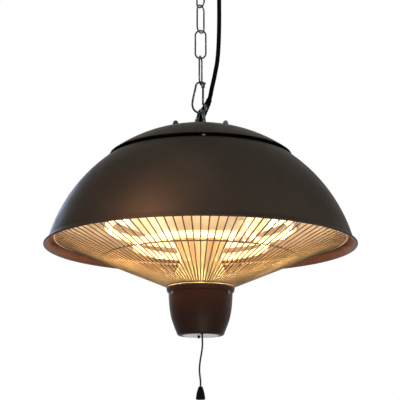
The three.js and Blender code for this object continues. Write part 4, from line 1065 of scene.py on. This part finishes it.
class HEATER_OT_coil(bpy.types.Operator):
    """Winds the lead's spare length into the coil at the ceiling and leads it down to its plug"""
    bl_idname = "heater.coil"
    bl_label = "Spare coil"

    def execute(self, context):
        line = self.line()
        radius = size("lead") / 2
        coil = tube("lead_coil", line, lambda way: radius, 16)
        finished(coil, "ceiling", "rubber", "cord_rubber", "cord_coil", "cord_tail")
        return {"FINISHED"}

    def line(self):
        rate = COIL_PITCH / FULL_TURN
        end = COIL_TURNS * FULL_TURN
        steps = int(COIL_TURNS * COIL_STEPS)
        places = []
        for i in range(steps + 1):
            angle = end * i / steps
            radius = COIL_OUTER - rate * (end / 2 - abs(angle - end / 2))
            way = min(max((angle - end / 2 + pi / 2) / pi, 0), 1)
            climb = COIL_PITCH * way * way * (3 - 2 * way)
            places.append((radius * cos(angle), climb, radius * sin(angle)))
        places += smooth_line([places[-1], *TAIL_ROUTE], 5)[1:]
        return [tuple((Vector(place) + Vector(COIL_CENTRE)) * MM) for place in places]


class HEATER_OT_plug(bpy.types.Operator):
    """Makes the round mains plug that hangs from the coil's tail"""
    bl_idname = "heater.plug"
    bl_label = "Mains plug"

    def execute(self, context):
        across = middle("mains_plug", "x")
        back, front = span("mains_plug", "y")
        foot, tip = span("mains_plug")
        centre = foot + 19
        body = spun("plug_body", [
            (0, 1.2), (7, 1.2), (8.5, 0.4), (12, 0), (15.5, 0.3), (17.6, 1.6), (18.6, 4), (18.2, 6.5),
            (18.2, 8), (18.9, 9), (19, 11), (18.6, 12), (18.6, 16.5), (18.2, 18.4), (17, 19.4), (15, 19.4),
            (14.4, 18.6), (0, 18.6),
        ], 72)
        placed(body, (across, back, centre), (-90, 0, 0))
        relief = placed(spun("plug_relief", self.ribs(tip, 22, 6), 36), (across, back + 10, 0))
        finished(joined(body, relief), "ceiling", "black", "black_plastic", "mains_plug", angle=30)
        pins = []
        for side in (-1, 1):
            pin = spun("pin", [(0, 0), (2.4, 0), (2.4, 17), (2, 18.6), (1.2, 19), (0, 19)], 24)
            pins.append(placed(pin, (across + side * 9.5, front - 19, centre), (-90, 0, 0)))
        pins = joined(*pins)
        pins.name = "plug_pins"
        finished(pins, "ceiling", "pins", "zinc")
        return {"FINISHED"}

    def ribs(self, tip, reach, count):
        """Outline of the tapered, ribbed sleeve that the lead enters the plug through"""
        outline = [(0, tip - reach - 6), (6.4, tip - reach - 6)]
        for i in range(count + 1):
            share = i / count
            radius = 6.4 - 2.5 * share
            up = tip - reach + share * (reach - 1.6)
            outline += [(radius, up), (radius, up + 1.5)]
            if i < count:
                outline += [(radius - 0.7, up + 1.9), (radius - 0.7, up + 3)]
        return [*outline, (0, tip)]


class HEATER_OT_ceiling(bpy.types.Operator):
    """Makes the ceiling plate with its hook, screws and the clip that holds the coil"""
    bl_idname = "heater.ceiling"
    bl_label = "Ceiling fitting"

    def execute(self, context):
        outline = [(0, 0), (42, 0), (42, -1), *quarter((39.5, -1.5), 2.5, 0, -90, 6)[1:]]
        plate = spun("ceiling_plate_dressed", [*outline, (20, -4), (17, -4), (0, -4)], 96)
        finished(plate, "ceiling", "enamel", "brown_paint", "ceiling_plate")
        self.hook()
        places = [round_axis(PLATE_SCREW_RADIUS, turn, PLATE_SCREW_SEAT) for turn in PLATE_SCREW_TURNS]
        set_round(screw_head("plate_screw_head", 4, 2.4), "plate_screw", places, [(180, 0, 20), (180, 0, 70)],
                  "ceiling", "screw", ending="a")
        clip = softened("cord_clip", "coil_clip", 0.5)
        finished(clip, "ceiling", "zinc", "zinc", "cord_clip", angle=30)
        return {"FINISHED"}

    def hook(self):
        bend = HOOK_BEND
        sweep = pi + atan2(HOOK_MOUTH, bend)
        line = smooth_line([
            (0, 0, 68), (0, 0, 52), (0, 0, 3 * bend), (-0.33 * bend, 0, 2.1 * bend), (-bend, 0, bend),
        ], 8)
        steps = 36
        for i in range(1, steps + 1):
            angle = pi + sweep * i / steps
            line.append((bend * cos(angle), 0, bend * (sin(angle) + 1)))
        hook = rounded_bar("ceiling_hook_dressed", lifted(line, -HOOK_DROP), 5, 1.6)
        foot = spun("hook_foot", [
            (0, -4.3), (9, -4.3), (9, -5.3), (8.4, -5.9), (4.6, -6.2), (3.6, -7), (3.3, -8.6), (2.4, -8.8),
            (0, -8.8),
        ], 40)
        piece = placed(joined(hook, foot), turn=(0, 0, HOOK_TURN))
        finished(piece, "ceiling", "steel", "chain_steel", "ceiling_hook")


class HEATER_OT_chain(bpy.types.Operator):
    """Makes one chain link and copies it down the chain"""
    bl_idname = "heater.chain"
    bl_label = "Chain"

    def execute(self, context):
        wire = size("link_wire")
        radius = (LINK_WIDTH - wire) / 2
        straight = LINK_LENGTH - LINK_WIDTH
        link = ring_section("link", wire, (radius, 0, -radius), 14)
        for drop, way in ((0, -1), (straight, 1)):
            spin_selected(20, pi, (0, 0, -radius - drop), (0, 1, 0))
            extrude_selected(0, 0, way * straight)
        leave_edit()
        link = tidy_mesh(fixed(link), 0.01)
        for i, turn in enumerate(LINK_TURNS, 1):
            top = span(f"chain_link_{i}")[1] - wire / 2
            copy = copied(link, f"link_{i}_dressed", (0, 0, top), (0, 0, turn))
            finished(copy, f"link_{i}", "steel", "chain_steel", f"chain_link_{i}", angle=60)
        bpy.data.objects.remove(link)
        return {"FINISHED"}


def snap_place(share, top):
    return (share[0] * SNAP_LENGTH, 0, top + share[1] * SNAP_LENGTH)


class HEATER_OT_snap_hook(bpy.types.Operator):
    """Makes the snap hook, its sprung gate and the gate's pin"""
    bl_idname = "heater.snap_hook"
    bl_label = "Snap hook"

    def execute(self, context):
        pin = Vector((middle("gate_pin", "x"), 0, middle("gate_pin", "z")))
        top = pin.z - GATE_PIN[1] * SNAP_LENGTH
        line = smooth_line([snap_place(share, top) for share in SNAP_LINE], 8)
        hook = rounded_bar("snap_hook_dressed", line, 3, 1.1)
        cheeks = []
        for side in (-1, 1):
            cheek = spun("cheek", [(0, 0), (2.8, 0), (2.8, 0.8), (2.5, 1.1), (0, 1.1)], 28)
            cheeks.append(placed(cheek, (pin.x, side * 1.7, pin.z), (-side * 90, 0, 0)))
        left, right = pin.x - 1.4, snap_place(SNAP_LINE[-1], top)[0] + 1.5
        web = block((right - left, 5.2, 2.6), ((left + right) / 2, 0, pin.z + 4.1))
        web = bevelled(web, 0.9, 3)
        finished(joined(hook, *cheeks, web), "snap", "steel", "chain_steel", "snap_hook", angle=50)
        self.gate(pin, Vector(snap_place(GATE_TIP, top)))
        rivet = spun("gate_pin_dressed", [
            (0, -2.75), (0.7, -2.7), (1.1, -2.5), (1.1, -2.3), (0.85, -2.2), (0.85, 2.2), (1.1, 2.3),
            (1.1, 2.5), (0.7, 2.7), (0, 2.75),
        ], 20)
        finished(placed(rivet, pin, (90, 0, 0)), "snap", "zinc", "zinc", "gate_pin")
        return {"FINISHED"}

    def gate(self, pin, tip):
        start = pin + (tip - pin).normalized() * 1.3
        bar = rounded_bar("snap_gate_dressed", stepped([start, tip], 20), 3.1, 0.8)
        eye = spun("gate_eye", [(1.25, -1.3), (2.3, -1.3), (2.6, -1), (2.6, 1), (2.3, 1.3), (1.25, 1.3)], 28)
        placed(eye, pin, (90, 0, 0))
        finished(joined(bar, eye), "gate", "steel", "chain_steel", "snap_gate", angle=50)


class HEATER_OT_hanging_eye(bpy.types.Operator):
    """Bends the eye that carries the heater through its cap"""
    bl_idname = "heater.hanging_eye"
    bl_label = "Hanging eye"

    def execute(self, context):
        low, high = span("hanging_eye")
        wire = 4
        top = high - wire / 2
        leg = [(12, -30), (11.6, -24), (10.2, -15.5), (8, -8.5), (5.4, -3.4), (2.8, -0.8)]
        side = [(leg[0][0], 0, low), *[(x, 0, top + z) for x, z in leg]]
        arch = [*side, (0, 0, top), *[(-x, 0, z) for x, _, z in reversed(side)]]
        eye = placed(bent_bar("hanging_eye_dressed", smooth_line(arch, 6), wire), turn=(0, 0, EYE_TURN))
        finished(eye, "heater", "steel", "chain_steel", "hanging_eye", angle=60)
        return {"FINISHED"}


class HEATER_OT_cap(bpy.types.Operator):
    """Spins the top cap"""
    bl_idname = "heater.cap"
    bl_label = "Top cap"

    def execute(self, context):
        wall = size("sheet_wall")
        edge = 125.5
        top = sum(CAP_DOME)
        outside = dome_arc(CAP_DOME, 0, edge, top, 40)[:-1]
        inside = dome_arc(CAP_DOME, wall, edge, top - wall, 40)[:-1]
        outline = [*outside, (0, top), (0, top - wall), *reversed(inside)]
        outline += [(inside[0][0] + 0.2, edge - 0.5), (inside[0][0] + 1.1, edge - 0.6)]
        cap = spun("cap_dressed", lifted(outline, RIM), 128)
        finished(cap, "heater", "enamel", "brown_paint", "top_cap")
        return {"FINISHED"}


class HEATER_OT_cap_bolts(bpy.types.Operator):
    """Makes one domed cap bolt and copies it round the cap"""
    bl_idname = "heater.cap_bolts"
    bl_label = "Cap bolts"

    def execute(self, context):
        out, washer = 48, 4.2
        seat = RIM + dome_height(CAP_DOME, out - washer) + 0.2
        nut = hexagon(4.1, 2.4, 1.3, 0.3)
        dome = spun("bolt_dome", [
            (0, -1), (washer, -1), (washer, 0.2), (3.5, 0.4), (3.45, 2.4), (3.4, 2.9), (3, 4), (2.2, 4.9),
            (1.1, 5.4), (0, 5.5),
        ], 28)
        places = [round_axis(out, turn, seat) for turn in CAP_BOLT_TURNS]
        set_round(joined(nut, dome), "cap_bolt", places, [(0, 0, 17 * i) for i in range(4)],
                  finish="steel", slot="chain_steel", angle=30)
        return {"FINISHED"}


class HEATER_OT_vent_ring(bpy.types.Operator):
    """Spins the ring between shade and cap and sets its three screws"""
    bl_idname = "heater.vent_ring"
    bl_label = "Vent ring"

    def execute(self, context):
        bottom, top = span("spacer_ring")
        outer, inner = 117.5, 115.9
        outline = [(outer, bottom), (outer, top), (inner, top), (inner, bottom)]
        ring = bevelled(spun("vent_ring", outline, 128), 0.3)
        finished(ring, "heater", "gap", "dark_shell", "spacer_ring")
        height = middle("ring_screw_1", "z")
        places = [round_axis(outer + 0.2, turn, height) for turn in RING_SCREW_TURNS]
        tilts = [(0, 90, turn) for turn in RING_SCREW_TURNS]
        set_round(screw_head("ring_screw_head", 2.6, 1.6), "ring_screw", places, tilts)
        return {"FINISHED"}


class HEATER_OT_shade(bpy.types.Operator):
    """Spins the shade with its flared, rolled lip"""
    bl_idname = "heater.shade"
    bl_label = "Shade"

    def execute(self, context):
        wall, height = size("sheet_wall"), size("shade_height")
        lip, drop = size("rim_radius"), size("lip_drop")
        bead, rise, shoulder, hole = 1.4, 9, 128, 112
        start = dome_radius(SHADE_DOME, rise)
        outline = quarter((lip - bead, bead - drop), bead, -100, 85, 10)
        outline += bent((lip - bead, 2 * bead - drop), (start + bead, rise / 3 - drop / 2),
                        (start, rise), 10)[1:]
        outline += dome_arc(SHADE_DOME, 0, rise, height - 1.2, 44)[1:]
        outline += [(shoulder - 0.2, height - 0.25), (shoulder - 1.2, height), (hole, height)]
        outline += [(hole, height - wall), (shoulder - 2.6, height - wall)]
        outline += reversed(dome_arc(SHADE_DOME, wall, rise, height - wall - 1.2, 44))
        outline += bent((start - wall, rise), (start - bead / 2, rise / 3 - wall - drop / 2),
                        (lip - 1.8 * bead, 0.3 - drop), 8)[1:]
        shade = spun("shade_dressed", lifted(outline, RIM), 144)
        finished(shade, "heater", "enamel", "brown_paint", "shade_dome")
        # The inward faces take the inside enamel, painted lighter and warmer as painted light from the lamps
        finish_faces(shade, "inside", lambda face: (
            face.normal.x * face.center.x + face.normal.y * face.center.y < 0 and face.normal.z < 0.2))
        return {"FINISHED"}


class HEATER_OT_reflector(bpy.types.Operator):
    """Spins the trumpet reflector and the waisted column under it"""
    bl_idname = "heater.reflector"
    bl_label = "Reflector and column"

    def execute(self, context):
        self.dish()
        self.column()
        return {"FINISHED"}

    def dish(self):
        foot, flat, reach, rise, wall = 13.3, 40, 110, 46, 1.2
        shares = [(0, 0), (0.2, 0.08), (0.45, 0.29), (0.74, 0.61), (1, 1)]
        under = smooth_line([(flat + out * reach, foot + up * rise) for out, up in shares], 12)
        over = lifted(under[1:-1], wall)
        bead = quarter((150.2, foot + rise + wall / 2), 0.9, -60, 150, 6)
        outline = [*under[:-1], *bead, *reversed(over), (flat, foot + wall)]
        outline += [(TUBE_HOLE, foot + wall), (TUBE_HOLE, foot)]
        dish = spun("reflector_dressed", lifted(outline, RIM), 128)
        finished(dish, "heater", "polished", "polished", "reflector_dish")

    def column(self):
        low, high = span("centre_column")
        foot, waist, wall = 41, 27.8, 1.2
        shares = [(0, 0), (0.5, 0.28), (0.86, 0.42), (1, 0.53), (0.62, 0.78), (0.08, 1)]
        outside = smooth_line([(foot - narrow * (foot - waist), low + rise * (high - low))
                               for narrow, rise in shares], 10)
        inside = [(radius - wall, up) for radius, up in reversed(outside)]
        column = spun("column_dressed", outside + inside, 96)
        finished(column, "heater", "column", "polished", "centre_column")


class HEATER_OT_lamps(bpy.types.Operator):
    """Bends the two lit ring lamps and seats them in their ceramic ends and holders"""
    bl_idname = "heater.lamps"
    bl_label = "Ring lamps"

    def execute(self, context):
        for name, (radius, height, turn) in LAMPS.items():
            slant = END_RADIUS * HOLDER_REACH / 2 / radius
            half_gap = degrees((HOLDER_WIDTH / 2 + END_CLEARANCE + slant + END_LENGTH / 2) / radius)
            self.tube(name, radius, RIM + height, turn, half_gap)
            for number, side in ((1, 1), (2, -1)):
                self.cap(name, number, radius, RIM + height, turn + side * half_gap)
            holder = softened(f"{name}_lamp_holder", f"{name}_lamp_holder_dressed", 0.9, 3)
            finished(holder, "heater", "bright", "zinc", f"{name}_lamp_holder", angle=30)
            self.shine(name, radius, RIM + height - LIGHT_DROP, turn)
        return {"FINISHED"}

    def shine(self, name, radius, height, turn):
        """Small lights along a lit lamp, which give the shade's inside the light of its glow"""
        for i in range(LIGHTS_PER_LAMP):
            data = bpy.data.lights.new(f"{name}_lamp_light_{i + 1}", "POINT")
            data.energy = colours().lamp_power / LIGHTS_PER_LAMP
            data.color = LIGHT_COLOUR
            data.shadow_soft_size = LIGHT_SOFTNESS * MM
            light = bpy.data.objects.new(data.name, data)
            light.location = metres(*round_axis(radius, turn + 360 * (i + 0.5) / LIGHTS_PER_LAMP, height))
            light.visible_camera = False
            bpy.context.collection.objects.link(light)
            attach(light, "heater")

    def tube(self, name, radius, height, turn, half_gap):
        sweep = FULL_TURN - 2 * radians(half_gap)
        lamp = ring_section(f"{name}_lamp_dressed", size("lamp_tube"), (radius, 0, height), 16, (90, 0, 0))
        bpy.ops.mesh.edge_face_add()
        spin_selected(140, sweep)
        leave_edit()
        lamp = placed(tidy_mesh(fixed(lamp)), turn=(0, 0, turn + half_gap))
        finished(lamp, "heater", "lamp", "lamp_glass", f"{name}_lamp", angle=60)
        self.filament(name, radius, height, turn + half_gap, sweep)

    def filament(self, name, radius, height, start, sweep):
        steps = int(radius * sweep / FILAMENT_PITCH) * FILAMENT_STEPS
        places = []
        for i in range(steps + 1):
            wound = FULL_TURN * i / FILAMENT_STEPS
            out, up = FILAMENT_RADIUS * cos(wound), FILAMENT_RADIUS * sin(wound)
            places.append(round_axis(radius + out, start + degrees(sweep * i / steps), height + up))
        coil = bent_bar(f"{name}_filament", places, FILAMENT_WIRE, roundness=0)
        finished(coil, "heater", "filament", "lamp_glass", angle=60)

    def cap(self, name, number, radius, height, turn):
        cap = spun(f"{name}_lamp_cap_dressed_{number}", [
            (0, -5.2), (5.4, -5.2), (6.3, -4.4), (6.4, -1.4), (5.9, -0.9), (5.9, 0.1), (6.4, 0.6), (6.4, 4.2),
            (5.8, 5.2), (0, 5.2),
        ], 32)
        placed(cap, round_axis(radius, turn, height), (90, 0, turn))
        finished(cap, "heater", "ceramic", "ceramic", f"{name}_lamp_cap_{number}", angle=30)


class HEATER_OT_guard(bpy.types.Operator):
    """Models one guard wire, spins copies of it round, and adds the guard's rings"""
    bl_idname = "heater.guard"
    bl_label = "Wire guard"

    def execute(self, context):
        count, wire = sizes().guard_count, size("guard_wire")
        out, up = GUARD_RADIUS - GUARD_FOOT, GUARD_HIGH - GUARD_LOW
        lean = atan(GUARD_SLOPE)
        turn = (0, 90 - degrees(lean), 0)
        cage = ring_section("guard_dressed", wire, (GUARD_FOOT, 0, GUARD_LOW), 8, turn)
        bpy.ops.mesh.edge_face_add()
        for share in (0.35, 0.35, 0.3):
            extrude_selected(out * share, 0, up * share)
        bpy.ops.mesh.select_all(action="SELECT")
        bpy.ops.mesh.normals_make_consistent(inside=False)
        spin_selected(count - 1, FULL_TURN * (count - 1) / count, dupli=True)
        leave_edit()
        cage = fixed(cage)
        foot_ring = self.ring("guard_foot_ring", GUARD_FOOT, GUARD_LOW, GUARD_RING_WIRE)
        rim_ring = self.ring("guard_rim_ring", GUARD_RADIUS, GUARD_HIGH, GUARD_RING_WIRE)
        cage = joined(cage, foot_ring, rim_ring)
        finished(cage, "heater", "guard", "guard_chrome", "guard_wires", angle=60)
        rim_band, foot_band = GUARD_RADIUS - 2.2, GUARD_FOOT + 1.8
        finish_faces(cage, "rim_ring", lambda face: from_axis(face) > rim_band)
        finish_faces(cage, "hoop", lambda face: from_axis(face) < foot_band)
        on_wires = GUARD_LOW + (HOOP_RADIUS - GUARD_FOOT) * GUARD_SLOPE
        over = (wire + HOOP_WIRE) / 2 / cos(lean) - 0.2
        hoop = self.ring("guard_hoop_dressed", HOOP_RADIUS, on_wires + over, HOOP_WIRE)
        finished(hoop, "heater", "hoop", "guard_chrome", "guard_hoop", angle=60)
        return {"FINISHED"}

    def ring(self, name, radius, height, wire):
        ring = ring_section(name, wire, (radius, 0, height), 10, (90, 0, 0))
        spin_selected(144)
        leave_edit()
        return tidy_mesh(fixed(ring))


class HEATER_OT_housing(bpy.types.Operator):
    """Spins the switch housing and its collar, and sets their screws"""
    bl_idname = "heater.housing"
    bl_label = "Switch housing"

    def execute(self, context):
        self.collar()
        self.bowl()
        height = middle("housing_screw_1", "z")
        places = [round_axis(43.3, turn, height) for turn in HOUSING_SCREW_TURNS]
        tilts = [(0, 90, turn) for turn in HOUSING_SCREW_TURNS]
        set_round(screw_head("housing_screw_head", 2.2, 1.4), "housing_screw", places, tilts)
        return {"FINISHED"}

    def collar(self):
        bottom, top = span("housing_collar")
        outline = [(43.5, bottom), (44.6, bottom), (45, bottom + 0.5), (45.9, top - 1.6)]
        outline += quarter((45.2, top - 0.9), 0.9, -10, 90, 5)
        outline += [(TUBE_HOLE, top), (TUBE_HOLE, top - 2), (43.5, top - 2)]
        collar = spun("collar_dressed", outline, 112)
        finished(collar, "heater", "shell", "dark_shell", "housing_collar")
        finish_faces(collar, "lip", lambda face: from_axis(face) > 44 and face.center.z > (top - 1.7) * MM)

    def bowl(self):
        low, high = span("switch_housing")
        width, wall, foot, inset, floor = 43.2, 2, 29.6, 24.7, low + 2.4
        shares = [(1, 1), (0.985, 0.76), (0.955, 0.55), (0.9, 0.36), (0.81, 0.18), (0.74, 0.06)]
        outside = smooth_line([(width * out, low + (high - low) * up) for out, up in shares], 9)
        corner = bent(outside[-1], (foot + 1.6, low + 0.3), (foot - 0.8, low), 6)[1:]
        inside = [(radius - wall, max(up, floor)) for radius, up in outside]
        outline = [*outside, *corner, (inset, low), (inset, floor), *reversed(inside)]
        bowl = spun("housing_dressed", outline, 112)
        finished(bowl, "heater", "shell", "dark_shell", "switch_housing")


class HEATER_OT_base_plate(bpy.types.Operator):
    """Makes the pale base plate under the housing with its round knob"""
    bl_idname = "heater.base_plate"
    bl_label = "Base plate"

    def execute(self, context):
        low, high = span("base_plate")
        plate = spun("base_plate_dressed", [
            (0, low + 0.5), (19.5, low + 0.5), (20.3, low + 0.05), (23.2, low), (24.1, low + 0.4),
            (24.4, low + 1.2), (24.4, high), (0, high),
        ], 96)
        finished(plate, "heater", "grey", "grey_plastic", "base_plate")
        knob = spun("base_knob_dressed", [(0, 0), (0.9, 0), (1.4, 0.4), (1.8, 1.4), (1.8, 3.4), (0, 3.4)], 28)
        placed(knob, (middle("base_knob", "x"), 0, span("base_knob")[0]))
        finished(knob, "heater", "black", "black_plastic", "base_knob")
        return {"FINISHED"}


class HEATER_OT_pull_switch(bpy.types.Operator):
    """Makes the pull cord, its bush and its bell-shaped grip"""
    bl_idname = "heater.pull_switch"
    bl_label = "Pull cord"

    def execute(self, context):
        x, y = PULL_PLACE
        places = [(x + dx, y + dy, HOUSING_FOOT + dz) for dx, dy, dz in PULL_ROUTE]
        line = stepped(smooth_line(in_metres(places), 8), 90)
        self.grip(places[-1])
        bush = spun("pull_bush", [
            (1.5, -0.7), (1.9, -0.75), (2.3, -0.5), (2.3, -0.3), (2, -0.3), (2, 2.4), (1.5, 2.4),
        ], 28)
        finished(placed(bush, (x, y, HOUSING_FOOT)), "heater", "black", "black_plastic", "cord_guide")
        cord = tube("pull_cord_dressed", line, lambda way: PULL_CORD / 2, 14)
        finished(cord, "pull", "braid", "cord_rubber", "pull_cord")
        return {"FINISHED"}

    def grip(self, foot):
        low, high = span("pull_knob")
        shares = [
            (0.8, 0), (0.93, 0.03), (1, 0.1), (0.97, 0.22), (0.84, 0.5), (0.66, 0.74), (0.54, 0.88),
            (0.44, 0.96), (0.38, 1),
        ]
        side = smooth_line([(6.1 * out, low + (high - low) * up) for out, up in shares], 4)
        outline = [(0, low + 2.2), (3.6, low + 1.8), (4.4, low), *side, (0, high)]
        grip = placed(spun("pull_grip", outline, 48), (foot[0], foot[1], 0))
        finished(grip, "pull", "black", "black_plastic", "pull_knob")


class HEATER_OT_inner_parts(bpy.types.Operator):
    """Finishes the parts inside the cap, the shade and the housing"""
    bl_idname = "heater.inner_parts"
    bl_label = "Inner parts"

    def execute(self, context):
        finishes = dict.fromkeys(
            ("eye_plate", "eye_nut_1", "eye_nut_2", "carrier_plate", "centre_tube", "tube_nut"), "zinc")
        finishes.update(terminal_block="ceramic", switch_body="black", switch_drum="grey")
        for node, finish in finishes.items():
            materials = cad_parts[node].data.materials
            materials.clear()
            materials.append(finish_of(finish))
        return {"FINISHED"}


class HEATER_PT_pieces(bpy.types.Panel):
    bl_idname = "HEATER_PT_pieces"
    bl_label = "Hanging patio heater"
    bl_space_type = "VIEW_3D"
    bl_region_type = "UI"
    bl_category = "Heater"

    def draw(self, context):
        layout = self.layout
        for name in HeaterSizes.__annotations__:
            layout.prop(context.scene.heater_sizes, name)
        for name in HeaterColours.__annotations__:
            layout.prop(context.scene.heater_colours, name)
        for operator in OPERATORS:
            layout.operator(operator.bl_idname)


OPERATORS = (
    HEATER_OT_stage, HEATER_OT_boot, HEATER_OT_lead, HEATER_OT_plug, HEATER_OT_coil, HEATER_OT_ceiling,
    HEATER_OT_chain, HEATER_OT_snap_hook, HEATER_OT_hanging_eye, HEATER_OT_cap, HEATER_OT_cap_bolts,
    HEATER_OT_vent_ring, HEATER_OT_shade, HEATER_OT_reflector, HEATER_OT_lamps, HEATER_OT_guard,
    HEATER_OT_housing, HEATER_OT_base_plate, HEATER_OT_pull_switch, HEATER_OT_inner_parts,
)
CLASSES = (HeaterSizes, HeaterColours, *OPERATORS, HEATER_PT_pieces)


def register():
    for item in CLASSES:
        bpy.utils.register_class(item)
    bpy.types.Scene.heater_sizes = bpy.props.PointerProperty(type=HeaterSizes)
    bpy.types.Scene.heater_colours = bpy.props.PointerProperty(type=HeaterColours)


def unregister():
    del bpy.types.Scene.heater_colours
    del bpy.types.Scene.heater_sizes
    for item in reversed(CLASSES):
        bpy.utils.unregister_class(item)


def main():
    register()
    for operator in OPERATORS:
        group, name = operator.bl_idname.split(".")
        getattr(getattr(bpy.ops, group), name)()


if __name__ == "__main__":
    main()
